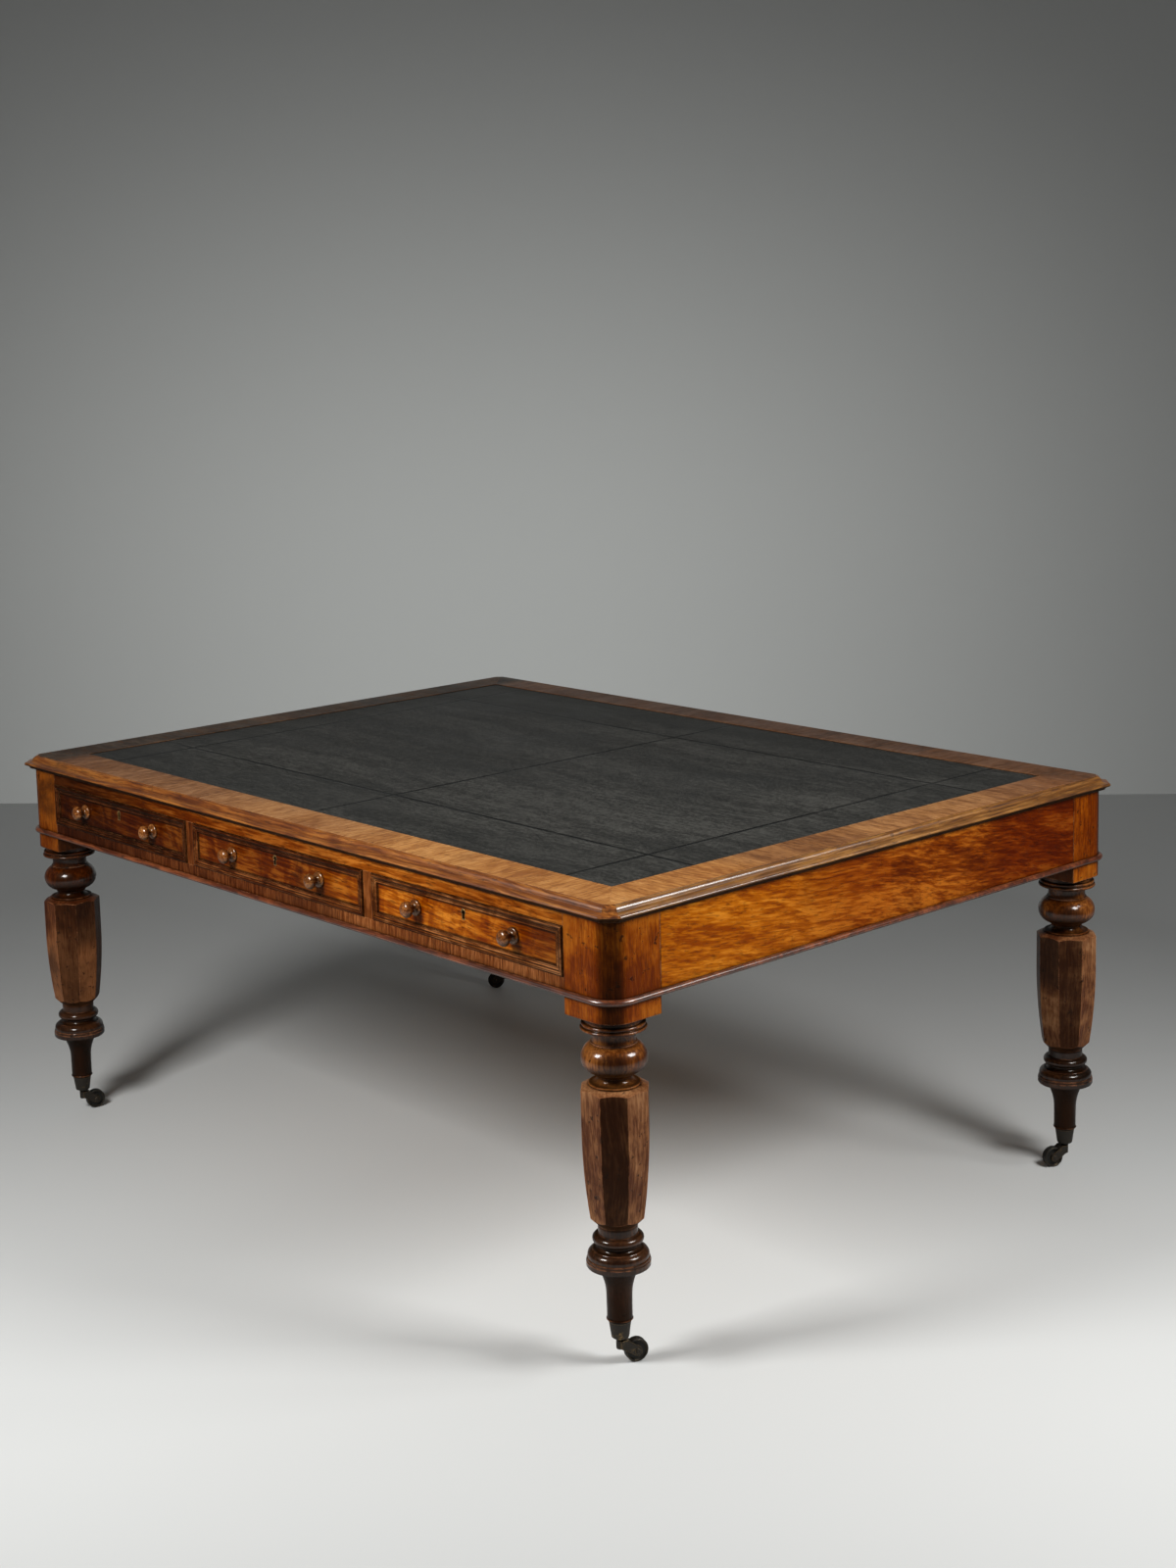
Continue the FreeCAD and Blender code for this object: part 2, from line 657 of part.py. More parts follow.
neck_shares = [
    (0.70, 0.01, 0), (0.70, 0.05, 0), (0.665, 0.06, -0.12), (0.665, 0.40, 0), (0.72, 0.44, 0),
    (0.97, 0.52, 0), (0.985, 0.53, 0.5), (0.985, 0.62, 0), (0.93, 0.63, 0), (0.93, 0.65, 0),
    (0.925, 0.66, 0.8), (0.925, 0.79, 0), (0.88, 0.81, 0), (0.88, 1, 0),
]
leg_stages = [
    ("LegShoulder", "CollarBottom", foot_shares),
    ("CollarBottom", "OctagonBottom", collar_shares),
    ("OctagonBottom", "OctagonTop", octagon_shares),
    ("OctagonTop", "BallBottom", ring_shares),
    ("BallBottom", "BallTop", ball_shares),
    ("BallTop", "BlockBottom", neck_shares),
]
leg_outline = [
    ("0", "CupFloorTop + SpigotGap"),
    ("SpigotTipRadius", "CupFloorTop + SpigotGap"),
    ("SpigotTopRadius", "LegShoulder"),
]
for low, high, shares in leg_stages:
    for radius_share, height_share, bulge in shares:
        leg_outline.append((f"TurningRadius * {radius_share}", f"{low} + ({high} - {low}) * {height_share}",
                            bulge))
leg_outline.append(("0", "BlockBottom"))
taper_bulge_share = 0.037


def make_leg(corner, sign_x, sign_y):
    name = f"leg_{corner}"
    body = new_body(name)
    turned(body, name + "_turning", leg_outline)
    # One flat of the eight-sided shaft, repeated round the leg. It curves in below the taper's top.
    flat_sketch = new_sketch(body, name + "_flat_outline", "XZ_Plane")
    draw_outline(flat_sketch, [
        ("OctagonFootWidth / 2", "OctagonBottom", taper_bulge_share),
        ("OctagonWidth / 2", "TaperTop"),
        ("OctagonWidth / 2", "OctagonTop"),
        ("TurningRadius + Overrun * 4", "OctagonTop"),
        ("TurningRadius + Overrun * 4", "OctagonBottom"),
    ])
    flat = pocket(body, name + "_flat", flat_sketch)
    flats = body.newObject("PartDesign::PolarPattern", name + "_flats")
    flats.Originals = [flat]
    flats.Axis = (flat_sketch, ["V_Axis"])
    flats.Angle = 360
    flats.Occurrences = 8
    body.Tip = flats
    # The square post, with its outer corner rounded.
    post_sketch = new_sketch(body, name + "_post_outline", "XY_Plane", "BlockBottom")
    half = "PostWidth / 2"
    draw_outline(post_sketch, [
        (f"{-sign_x} * {half}", f"{-sign_y} * {half}"),
        (f"{sign_x} * {half}", f"{-sign_y} * {half}"),
        (f"{sign_x} * {half}", f"{sign_y} * ({half} - PostRadius)", quarter_share * sign_x * sign_y),
        (f"{sign_x} * ({half} - PostRadius)", f"{sign_y} * {half}"),
        (f"{-sign_x} * {half}", f"{sign_y} * {half}"),
    ])
    pad(body, name + "_post", post_sketch, "FriezeTop - BlockBottom")
    # Mortises for the two long rails and the end rail.
    long_x = sorted([f"{-sign_x} * ({half} + Overrun)", f"{-sign_x} * ({half} - TenonLength)"],
                    key=amount_of)
    for level, (depth, low, high) in long_rails.items():
        middle = f"{sign_y} * ({half} - {depth} / 2)"
        cut_box(body, f"{name}_{level}_mortise", tuple(long_x),
                (f"{middle} - TenonThickness / 2", f"{middle} + TenonThickness / 2"),
                (f"{low} + TenonShoulder", f"{high} - TenonShoulder"))
    end_y = sorted([f"{-sign_y} * ({half} + Overrun)", f"{-sign_y} * ({half} - TenonLength)"],
                   key=amount_of)
    middle = f"{sign_x} * ({half} - EndRailThickness / 2)"
    cut_box(body, f"{name}_end_mortise",
            (f"{middle} - TenonThickness / 2", f"{middle} + TenonThickness / 2"), tuple(end_y), end_tenon_z)
    set_place(body, f"{sign_x} * LegX", f"{sign_y} * LegY")
    keep(body, name)


for corner, (sign_x, sign_y) in corner_signs.items():
    make_leg(corner, sign_x, sign_y)

# Casters. A brass cup under each leg, a fork that swivels in the cup's floor and trails its wheel.
cup = new_body("caster_cup")
turned(cup, "cup_shell", [
    ("StemRadius + RunningFit", "CupBottom"),
    ("CupFootRadius - CupLip", "CupBottom", quarter_share),
    ("CupFootRadius", "CupBottom + CupLip"),
    ("CupRadius - CupLip / 4", "LegShoulder - CupLip"),
    ("CupRadius - CupLip / 4", "LegShoulder - CupLip * 0.8", 0.5),
    ("CupRadius - CupLip / 4", "LegShoulder"),
    ("SpigotTopRadius + SpigotGap", "LegShoulder"),
    ("SpigotTipRadius + SpigotGap", "CupFloorTop"),
    ("RivetPocketRadius", "CupFloorTop"),
    ("RivetPocketRadius", "CupFloorTop - RivetPocketDepth"),
    ("StemRadius + RunningFit", "CupFloorTop - RivetPocketDepth"),
])
group("caster_cups", [
    set_place(linked(cup, f"caster_cup_{corner}"), f"{sign_x} * LegX", f"{sign_y} * LegY")
    for corner, (sign_x, sign_y) in corner_signs.items()
])

rivet_low = "CupFloorTop - RivetPocketDepth + SwivelGap / 2"
trail_turns = {"front_left": 79, "front_right": 68, "back_right": 246, "back_left": 215}


def make_fork(corner):
    """The fork in its own frame: the swivel is the Z axis and the wheel trails along X."""
    name = f"fork_{corner}"
    body = new_body(name)
    turned(body, name + "_hub", [
        ("0", "HubBottom"),
        ("HubRadius - HubRadius / 4", "HubBottom", quarter_share),
        ("HubRadius", "HubBottom + HubRadius / 4"),
        ("HubRadius", "HubTop"),
        ("NeckRadius", "HubTop"),
        ("NeckRadius", "CrownTop"),
        ("StemRadius", "CrownTop"),
        ("StemRadius", rivet_low),
        ("RivetRadius", rivet_low),
        ("RivetRadius", f"{rivet_low} + RivetHeight / 2", 0.2),
        ("StemRadius", f"{rivet_low} + RivetHeight"),
        ("0", f"{rivet_low} + RivetHeight"),
    ])
    cheek_sketch = new_sketch(body, name + "_cheek_outline", "XZ_Plane")
    draw_outline(cheek_sketch, [
        ("-HubRadius / 4", "HubBottom + HubRadius / 4"),
        ("HubRadius / 2", "HubBottom"),
        ("WheelTrail - HubBossRadius * 0.6", "WheelRadius - HubBossRadius * 0.8", 0.9),
        ("WheelTrail + HubBossRadius * 0.7", "WheelRadius + HubBossRadius * 0.714"),
        ("HubRadius * 1.4", "HubTop"),
        ("-HubRadius / 4", "HubTop"),
    ])
    pad(body, name + "_cheeks", cheek_sketch, "ForkHalfWidth * 2", symmetric=True)
    # The gap between the cheeks is as wide as the wheel and round about the axle.
    gap = body.newObject("PartDesign::SubtractiveCylinder", name + "_wheel_gap")
    gap.setExpression("Radius", bind("WheelRadius + WheelRimGap"))
    gap.setExpression("Height", bind("WheelGap * 2"))
    set_place(gap, "WheelTrail", "WheelGap", "WheelRadius", turn=90, axis=(1, 0, 0))
    hole = body.newObject("PartDesign::SubtractiveCylinder", name + "_axle_hole")
    hole.setExpression("Radius", bind("AxleRadius"))
    hole.setExpression("Height", bind("ForkHalfWidth * 2 + Overrun * 2"))
    set_place(hole, "WheelTrail", "ForkHalfWidth + Overrun", "WheelRadius", turn=90, axis=(1, 0, 0))
    return body


def turned_place(corner, piece, reach="0", height="0", tilt=0):
    """Puts a caster's piece under its leg, turned to the way that the caster trails."""
    sign_x, sign_y = corner_signs[corner]
    turn = trail_turns[corner]
    spin = FreeCAD.Rotation(FreeCAD.Vector(0, 0, 1), turn)
    piece.Placement = FreeCAD.Placement(FreeCAD.Vector(),
                                        spin.multiply(FreeCAD.Rotation(FreeCAD.Vector(1, 0, 0), tilt)))
    piece.setExpression("Placement.Base.x", bind(f"{sign_x} * LegX + {reach} * cos({turn})"))
    piece.setExpression("Placement.Base.y", bind(f"{sign_y} * LegY + {reach} * sin({turn})"))
    piece.setExpression("Placement.Base.z", bind(height))
    return piece


axle_end = "ForkHalfWidth + AxleHeadHeight"
axle = new_body("axle")
turned(axle, "axle_pin", [
    ("0", f"-({axle_end})"),
    ("AxleHeadRadius * 0.6", f"-({axle_end})", 0.25),
    ("AxleHeadRadius", "-ForkHalfWidth"),
    ("AxleRadius", "-ForkHalfWidth"),
    ("AxleRadius", "ForkHalfWidth"),
    ("AxleHeadRadius", "ForkHalfWidth", 0.25),
    ("AxleHeadRadius * 0.6", axle_end),
    ("0", axle_end),
])
wheel_half = "WheelWidth / 2"
wheel_side_shares = [(0.36, 1), (0.42, 0.62), (0.78, 0.62), (0.84, 0.94), (0.93, 1)]


def make_wheel(corner):
    body = new_body(f"caster_wheel_{corner}")
    lower = [(f"WheelRadius * {out}", f"-{wheel_half} * {up}", 0) for out, up in wheel_side_shares]
    upper = [(f"WheelRadius * {out}", f"{wheel_half} * {up}", 0) for out, up in wheel_side_shares]
    bore = "AxleRadius + RunningFit"
    tread = [(f"WheelRadius * {out}", f"{sign}{wheel_half} * 0.8", 0.1 * ahead)
             for sign, out, ahead in (("-", 1, 0), ("", 1, 0))]
    turned(body, f"wheel_{corner}_disc",
           [(bore, f"-{wheel_half}"), *lower, *tread, *reversed(upper), (bore, wheel_half)])
    return turned_place(corner, body, "WheelTrail", "WheelRadius", tilt=90)


for corner in corner_signs:
    fork = turned_place(corner, make_fork(corner))
    pin_link = turned_place(corner, linked(axle, f"axle_{corner}"), "WheelTrail", "WheelRadius", tilt=90)
    group(f"caster_fork_{corner}", [fork, pin_link])
    keep(make_wheel(corner), f"caster_wheel_{corner}")

# Drawers. Each is built about its own middle with the frieze's face at Y = 0 and the inside towards +Y,
# and then put in the front or, turned half round, in the back.
tail_count = 3
tail_root_share = 0.44
tail_tip_share = 0.64
knob_spread_share = 0.255
knob_height = "DrawerMiddle + KnobRise"
keyhole_bulge_share = 2.7
keyhole_slot_share = 0.36
keyhole_neck_share = 0.45


def tail_outline(number):
    """One dovetail seen from the side: narrow at the drawer front's back face and wide at its tip."""
    centre = f"SideBottom + SideHeight * {(number + 0.5) / tail_count}"
    root = f"SideHeight * {tail_root_share / tail_count / 2}"
    tip = f"SideHeight * {tail_tip_share / tail_count / 2}"
    return [
        ("BoardBack", f"{centre} - {root}"),
        ("TailTip", f"{centre} - {tip}"),
        ("TailTip", f"{centre} + {tip}"),
        ("BoardBack", f"{centre} + {root}"),
    ]


side_outline = [("DrawerLength", "SideTop"), ("DrawerLength", "SideBottom"), ("BoardBack", "SideBottom")]
for number in range(tail_count):
    side_outline.extend(tail_outline(number))
side_outline.append(("BoardBack", "SideTop"))

frame_section_shares = [
    (0, 0, 0), (0, 0.30, 0.7), (0.22, 0.30, 0), (0.26, 0.45, 0.5), (0.52, 0.45, 0), (0.57, 0.80, 0.35),
    (0.95, 0.80, 0), (1, 0.60, 0), (1, 0, 0),
]
frame_section = [
    (f"FrameWidth * {out}", f"FrameHeight * {up}", -bulge) for out, up, bulge in frame_section_shares
]
knob_shares = [
    (1.02, 0, 0), (1.04, 0.06, 0.35), (0.85, 0.16, 0), (0.62, 0.20, -0.35), (0.44, 0.36, 0),
    (0.44, 0.46, -0.2), (0.64, 0.54, 0.45), (1, 0.72, 0.32), (0.55, 0.96, 0.09), (0.12, 1, 0),
]
knob_outline = [
    ("0", "-FrontThickness"),
    ("KnobSpigotRadius", "-FrontThickness"),
    ("KnobSpigotRadius", "0"),
    *[(f"KnobRadius * {out}", f"KnobProjection * {up}", bulge) for out, up, bulge in knob_shares],
    ("0", "KnobProjection"),
]


def keyhole_outline(inset):
    """A keyhole: a straight slot with a round head on it, drawn inside the escutcheon's outer edge."""
    slot = f"(KeyholeWidth / 2 - {inset}) * {keyhole_slot_share / 0.5}"
    low = f"DrawerMiddle + KeyholeRise - KeyholeHeight / 2 + {inset}"
    neck = f"DrawerMiddle + KeyholeRise + KeyholeHeight * {keyhole_neck_share - 0.5}"
    return [(f"-{slot}", low), (slot, low), (slot, neck, keyhole_bulge_share), (f"-{slot}", neck)]


def make_drawer(name, width, centre_x, back):
    half = f"({width}) / 2 - DrawerSideGap"
    inside = f"{half} - SideThickness"
    board_y = ("FrontSetback", "BoardBack")
    turn = 180 if back else 0
    face_y = "FriezeY" if back else "-FriezeY"

    def settle(piece):
        return set_place(piece, centre_x, face_y, turn=turn)

    # Front board, with sockets for the sides' dovetails, a groove for the bottom, holes for the knobs'
    # spigots and the keyhole, and a mortise for the lock.
    front = new_body(f"{name}_board")
    add_box(front, f"{name}_slab", (f"-({half})", half), board_y, ("FrontLow", "FrontHigh"))
    for hand, offset, reverse in (("left", f"-({half})", True), ("right", half, False)):
        socket_sketch = new_sketch(front, f"{name}_{hand}_socket_outline", "YZ_Plane", offset)
        for number in range(tail_count):
            draw_outline(socket_sketch, tail_outline(number))
        pocket(front, f"{name}_{hand}_sockets", socket_sketch, "SideThickness", reverse=reverse)
    cut_box(front, f"{name}_front_groove", (f"-({inside})", inside),
            ("BoardBack - GrooveDepth", "BoardBack + Overrun"), ("BottomLow", "BottomHigh"))
    cut_box(front, f"{name}_lock_mortise", ("-LockWidth / 2", "LockWidth / 2"),
            ("BoardBack - LockDepth", "BoardBack + Overrun"),
            ("FrontHigh - LockHeight", "FrontHigh + Overrun"))
    hole_sketch = new_sketch(front, f"{name}_hole_outline", "XZ_Plane")
    for sign in (-1, 1):
        draw_circle(hole_sketch, f"{sign} * ({width}) * {knob_spread_share}", knob_height,
                    "KnobSpigotRadius")
    draw_outline(hole_sketch, keyhole_outline("0"))
    pocket(front, f"{name}_holes", hole_sketch)
    frame = []
    frame_low = f"FrontLow + FrameWidth"
    frame_high = f"FrontHigh - FrameWidth"
    frame_half = f"{half} - FrameWidth"
    rise = f"({frame_high} - ({frame_low})) / 2"
    for side, along in (("long", frame_half), ("short", rise)):
        strip = mitred_strip(f"{name}_{side}_strip", frame_section, "FrameWidth", along, 1)
        for end in (0, 1):
            piece = linked(strip, f"{name}_{side}_strip_{end}")
            spin = (0 if side == "long" else 90) + 180 * end
            piece.Placement = FreeCAD.Placement(
                FreeCAD.Vector(),
                FreeCAD.Rotation(FreeCAD.Vector(0, 0, 1), turn).multiply(
                    FreeCAD.Rotation(FreeCAD.Vector(1, 0, 0), 90)).multiply(
                    FreeCAD.Rotation(FreeCAD.Vector(0, 0, 1), spin)))
            out = {(0, "long"): ("0", frame_low), (180, "long"): ("0", frame_high),
                   (90, "short"): (frame_half, "DrawerMiddle"),
                   (270, "short"): (f"-({frame_half})", "DrawerMiddle")}[(spin, side)]
            hand = -1 if back else 1
            piece.setExpression("Placement.Base.x", bind(f"{centre_x} + {hand} * ({out[0]})"))
            piece.setExpression("Placement.Base.y", bind(f"{face_y} + {hand} * FrontSetback"))
            piece.setExpression("Placement.Base.z", bind(out[1]))
            frame.append(piece)
    group(f"{name}_front", [settle(front), *frame])

    # Box: two sides, back and bottom.
    box = []
    for hand, offset in (("left", f"-({half})"), ("right", inside)):
        side = new_body(f"{name}_{hand}_side")
        side_sketch = new_sketch(side, f"{name}_{hand}_side_outline", "YZ_Plane", offset)
        draw_outline(side_sketch, side_outline)
        pad(side, f"{name}_{hand}_side_board", side_sketch, "SideThickness")
        groove_x = (f"-({inside}) - GrooveDepth", f"-({inside}) + Overrun") if hand == "left" else (
            f"{inside} - Overrun", f"{inside} + GrooveDepth")
        cut_box(side, f"{name}_{hand}_groove", groove_x, ("BoardBack", "DrawerLength + Overrun"),
                ("BottomLow", "BottomHigh"))
        box.append(settle(side))
    box_back = new_body(f"{name}_back")
    add_box(box_back, f"{name}_back_board", (f"-({inside})", inside),
            ("DrawerLength - BackThickness", "DrawerLength"), ("BottomHigh", "SideTop"))
    box.append(settle(box_back))
    bottom = new_body(f"{name}_bottom")
    reach = f"{inside} + GrooveDepth"
    add_box(bottom, f"{name}_bottom_board", (f"-({reach})", reach), ("BoardBack", "DrawerLength"),
            ("BottomLow", "BottomHigh"))
    add_box(bottom, f"{name}_bottom_tongue", (f"-({inside})", inside),
            ("BoardBack - GrooveDepth", "BoardBack + Overrun"), ("BottomLow", "BottomHigh"))
    box.append(settle(bottom))
    group(f"{name}_box", box)

    # Knobs, turned along their own Z axis and laid to point out of the drawer.
    knob = new_body(f"{name}_knob")
    turned(knob, f"{name}_knob_turning", knob_outline)
    knobs = []
    for hand, sign in (("left", -1), ("right", 1)):
        piece = linked(knob, f"{name}_knob_{hand}")
        lean = -90 if back else 90
        set_place(piece, f"{centre_x} + {sign} * ({width}) * {knob_spread_share}",
                  f"{face_y} {'-' if back else '+'} FrontSetback", knob_height, turn=lean,
                  axis=(1, 0, 0))
        knobs.append(piece)
    group(f"{name}_knobs", knobs)

    # Lock case let into the board, and the escutcheon that lines the keyhole in front of it.
    case = new_body(f"{name}_lock_case")
    add_box(case, f"{name}_lock_block", ("-LockWidth / 2", "LockWidth / 2"),
            ("BoardBack - LockDepth", "BoardBack"), ("FrontHigh - LockHeight", "FrontHigh"))
    case_sketch = new_sketch(case, f"{name}_case_keyhole", "XZ_Plane")
    draw_outline(case_sketch, keyhole_outline("EscutcheonRim"))
    pocket(case, f"{name}_case_opening", case_sketch, "BoardBack - LockPlateThickness")
    liner = new_body(f"{name}_escutcheon")
    liner_sketch = new_sketch(liner, f"{name}_liner_outline", "XZ_Plane", "-FrontSetback")
    draw_outline(liner_sketch, keyhole_outline("0"))
    draw_outline(liner_sketch, keyhole_outline("EscutcheonRim"))
    liner_pad = pad(liner, f"{name}_liner", liner_sketch, "FrontThickness - LockDepth")
    liner_pad.Reversed = True
    group(f"{name}_lock", [settle(case), settle(liner)])


for side in ("front", "back"):
    for place, (width, centre_x) in drawer_rows.items():
        make_drawer(f"{side}_{place}_drawer", width, centre_x, side == "back")

doc.recompute()

faults = [item.Name for item in doc.Objects if "Invalid" in item.State or "Error" in item.State]
if faults:
    raise RuntimeError(f"these objects failed: {faults}")
os.makedirs("parts", exist_ok=True)
for piece in subparts:
    shape = piece.Shape
    if shape.isNull() or not shape.isValid() or not shape.Solids:
        raise RuntimeError(f"{piece.Label} has no valid solid")
for piece in subparts:
    piece.Shape.exportStep(f"parts/{piece.Label}.step")
print(len(subparts), "sub-parts,", sum(len(piece.Shape.Solids) for piece in subparts), "solids")
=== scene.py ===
import json
import math

import bmesh
import bpy
from mathutils import Matrix, Vector


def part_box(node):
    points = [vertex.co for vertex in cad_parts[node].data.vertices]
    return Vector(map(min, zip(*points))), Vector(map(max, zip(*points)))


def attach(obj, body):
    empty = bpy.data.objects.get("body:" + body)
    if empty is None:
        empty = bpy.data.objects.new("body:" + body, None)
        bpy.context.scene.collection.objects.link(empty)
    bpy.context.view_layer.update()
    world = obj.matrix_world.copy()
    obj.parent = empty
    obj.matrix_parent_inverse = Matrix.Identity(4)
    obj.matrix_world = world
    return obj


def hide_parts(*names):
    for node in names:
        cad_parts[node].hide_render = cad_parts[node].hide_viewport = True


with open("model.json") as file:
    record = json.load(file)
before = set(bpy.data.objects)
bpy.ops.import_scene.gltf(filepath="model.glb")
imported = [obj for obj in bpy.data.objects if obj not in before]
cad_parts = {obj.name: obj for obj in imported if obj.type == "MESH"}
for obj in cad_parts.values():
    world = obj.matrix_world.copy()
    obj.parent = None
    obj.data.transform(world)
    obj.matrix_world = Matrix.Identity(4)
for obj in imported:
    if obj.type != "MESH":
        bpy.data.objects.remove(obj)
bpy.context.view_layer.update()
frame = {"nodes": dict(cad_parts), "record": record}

nodes = frame["nodes"]
print("frame loaded:", len(nodes), "pieces")


def tone(red, green, blue):  # a screen colour, 0 to 255, as the shader wants it
    def straight(part):
        part = part / 255
        return part / 12.92 if part <= 0.04045 else ((part + 0.055) / 1.055) ** 2.4
    return (straight(red), straight(green), straight(blue), 1)


class Wire:  # one output socket; sums written on it add their Math nodes
    def __init__(self, finish, socket):
        self.finish = finish
        self.socket = socket

    def maths(self, operation, *others):
        sockets = dict(enumerate((self, *others)))
        return self.finish.node("ShaderNodeMath", {"operation": operation}, sockets)

    def after(self, operation, first):
        return self.finish.node("ShaderNodeMath", {"operation": operation}, {0: first, 1: self})

    def __add__(self, other):
        return self.maths("ADD", other)

    def __sub__(self, other):
        return self.maths("SUBTRACT", other)

    def __rsub__(self, other):
        return self.after("SUBTRACT", other)

    def __mul__(self, other):
        return self.maths("MULTIPLY", other)

    def __abs__(self):
        return self.maths("ABSOLUTE")

    __radd__ = __add__
    __rmul__ = __mul__


probe = {  # how edges and corners are felt for
    "rays": 4,
    "edge": (0.01, 0.12),  # how far the softened normal leans before wear starts, and is full
    "corner": (0.12, 0.62),  # how shut in a spot is before dirt and painted shade start, and are full
}


class Finish:  # a material and the nodes that it is made of
    def __init__(self, name):
        self.material = bpy.data.materials.new(name)
        self.material.use_nodes = True
        self.tree = self.material.node_tree
        self.tree.nodes.clear()

    def node(self, kind, settings=None, sockets=None, output=0):
        made = self.tree.nodes.new(kind)
        for name, value in (settings or {}).items():
            if name == "stops":
                ramp = made.color_ramp
                while len(ramp.elements) < len(value):
                    ramp.elements.new(0.5)
                for stop, (place, colour) in zip(ramp.elements, value):
                    stop.position = place
                    stop.color = colour
            else:
                setattr(made, name, value)
        for name, value in (sockets or {}).items():
            if isinstance(value, Wire):
                self.tree.links.new(value.socket, made.inputs[name])
            else:
                made.inputs[name].default_value = value
        return Wire(self, made.outputs[output]) if made.outputs else None

    def where(self):  # the point on the piece, in metres, as three values
        place = self.node("ShaderNodeTexCoord", output="Object")
        return [self.node("ShaderNodeSeparateXYZ", sockets={0: place}, output=k) for k in range(3)]

    def point(self, x, y, z):
        return self.node("ShaderNodeCombineXYZ", sockets={0: x, 1: y, 2: z})

    def noise(self, point, detail=2.0, roughness=0.5, bend=0.0):
        sockets = {"Vector": point, "Scale": 1.0, "Detail": detail, "Roughness": roughness}
        sockets["Distortion"] = bend
        return self.node("ShaderNodeTexNoise", {"noise_dimensions": "3D"}, sockets)

    def cells(self, point, feature="F1"):
        sockets = {"Vector": point, "Scale": 1.0}
        return self.node("ShaderNodeTexVoronoi", {"feature": feature}, sockets, "Distance")

    def rise(self, value, low, high):  # 0 below low, 1 above high, smooth between
        return self.node(
            "ShaderNodeMapRange",
            {"interpolation_type": "SMOOTHSTEP"},
            {"Value": value, "From Min": low, "From Max": high, "To Min": 0.0, "To Max": 1.0},
        )

    def spread(self, value, half=0.12):  # a noise keeps near 0.5, so its middle is stretched
        return self.rise(value, 0.5 - half, 0.5 + half)

    def ramp(self, value, stops):
        return self.node("ShaderNodeValToRGB", {"stops": stops}, {0: value})

    def mix(self, share, first, second):  # colours: first where share is 0, second where it is 1
        settings = {"data_type": "RGBA", "clamp_factor": True}
        return self.node("ShaderNodeMix", settings, {0: share, 6: first, 7: second}, output=2)

    def wornEdge(self, radius):  # 1 on an arris, 0 away from it
        soft = self.node("ShaderNodeBevel", {"samples": probe["rays"]}, {"Radius": radius})
        hard = self.node("ShaderNodeNewGeometry", output="Normal")
        settings = {"operation": "DOT_PRODUCT"}
        likeness = self.node("ShaderNodeVectorMath", settings, {0: soft, 1: hard}, "Value")
        return self.rise(1 - likeness, *probe["edge"]), soft

    def corners(self, reach, ownOnly):  # 1 in a tight corner, 0 in the open: a mask for dirt and painted shade
        settings = {"samples": probe["rays"], "only_local": ownOnly}
        openness = self.node("ShaderNodeAmbientOcclusion", settings, {"Distance": reach}, "AO")
        return self.rise(1 - openness, *probe["corner"])

    def close(self, colour, roughness, height, depth, normal=None, **steady):
        bump = {"Height": height, "Strength": 1.0, "Distance": depth}
        if normal:
            bump["Normal"] = normal
        sockets = {
            "Base Color": colour,
            "Roughness": roughness,
            "Normal": self.node("ShaderNodeBump", None, bump),
        }
        sockets.update({name.replace("_", " "): value for name, value in steady.items()})
        shader = self.node("ShaderNodeBsdfPrincipled", None, sockets)
        self.node("ShaderNodeOutputMaterial", None, {"Surface": shader})
        return self.material


def turnsTo(axis, start, stop, tones, share=1.0):  # other tones take over from start to stop
    return {"axis": axis, "start": start, "stop": stop, "tones": tones, "share": share}


growth = {  # what every board has
    # fibres: repeats per metre along the grain and across it, detail and bend
    "bands": (1.3, 18, 3, 0.5),
    "lines": (8, 240, 2, 0.0),
    "lineSpread": 0.14,
    "pores": (30, 360, 2, 0.0),
    "streakDetail": 3,
    "streakBend": 0.4,
    "fibreRoughness": 0.58,
    # blotches: repeats per metre, detail, roughness and bend
    "wander": (2.3, 2, 0.5, 0.0),
    "stain": (5, 5, 0.62, 0.3),
    "stainSpread": 0.10,
    "flecks": (75, 3, 0.7, 0.0),
    "rubbing": (60, 3, 0.6, 0.0),
    "smears": (14, 4, 0.6, 0.0),
    "dents": (34, 2, 0.5, 0.0),
    # a slow drift of the grain, and the ripple that crosses it
    "sideDrift": 0.05,
    "backDrift": 0.03,
    "rippleSlant": 26,
    "rippleDrift": 5,
    "rippleSide": 9,
    "rippleNoise": (3, 0.55, 0.8),
    # where each of these starts to show in its noise, and is full
    "poreReach": (0.55, 0.66),
    "stainReach": (0.54, 0.70),
    "fleckReach": (0.61, 0.69),
    "toneStops": (0.2, 0.5, 0.8),  # the deep, the plain and the bright tone
    # what each adds to the roughness and to the height of the bump
    "smearDull": 0.3,
    "poreDull": 0.1,
    "dirtDull": 0.2,
    "lineHeight": 0.12,
    "poreDepth": 0.35,
    "fleckDepth": 0.9,
    "relief": 0.0004,
    "varnish": (1, 0.62, 0.32, 1),  # old polish tints what it mirrors
}
bandJoint = {"shift": 0.37, "darker": 0.35, "share": 0.25}
drawerMoulding = {
    "inner": (0.0132, 0.0148),  # the moulding ends here, measured in from the front's edge
    "share": 0.75,
    # the quirks' places and half widths, darkened with painted shade
    "quirks": ((0, 0.0020), (0.0042, 0.0010), (0.0078, 0.0011), (0.0150, 0.0022)),
    "quirkBlur": (0.4, 1.6),
    "quirkShare": 0.8,
}
glueLine = {"width": (0.0005, 0.0020), "share": 0.75}
handling = {  # painted shade on the faces of a leg that look out cornerwise, where neither lamp falls full
    "turn": (0.25, 0.95),  # how cornerwise a face looks, from none to full
    "share": 0.6,
    "height": (0.20, 0.24),
    "higherShare": 0.4,  # added above that height
    "throughFigure": 0.35,
}
oiled = {"polish": 0.08, "blend": 0.003}


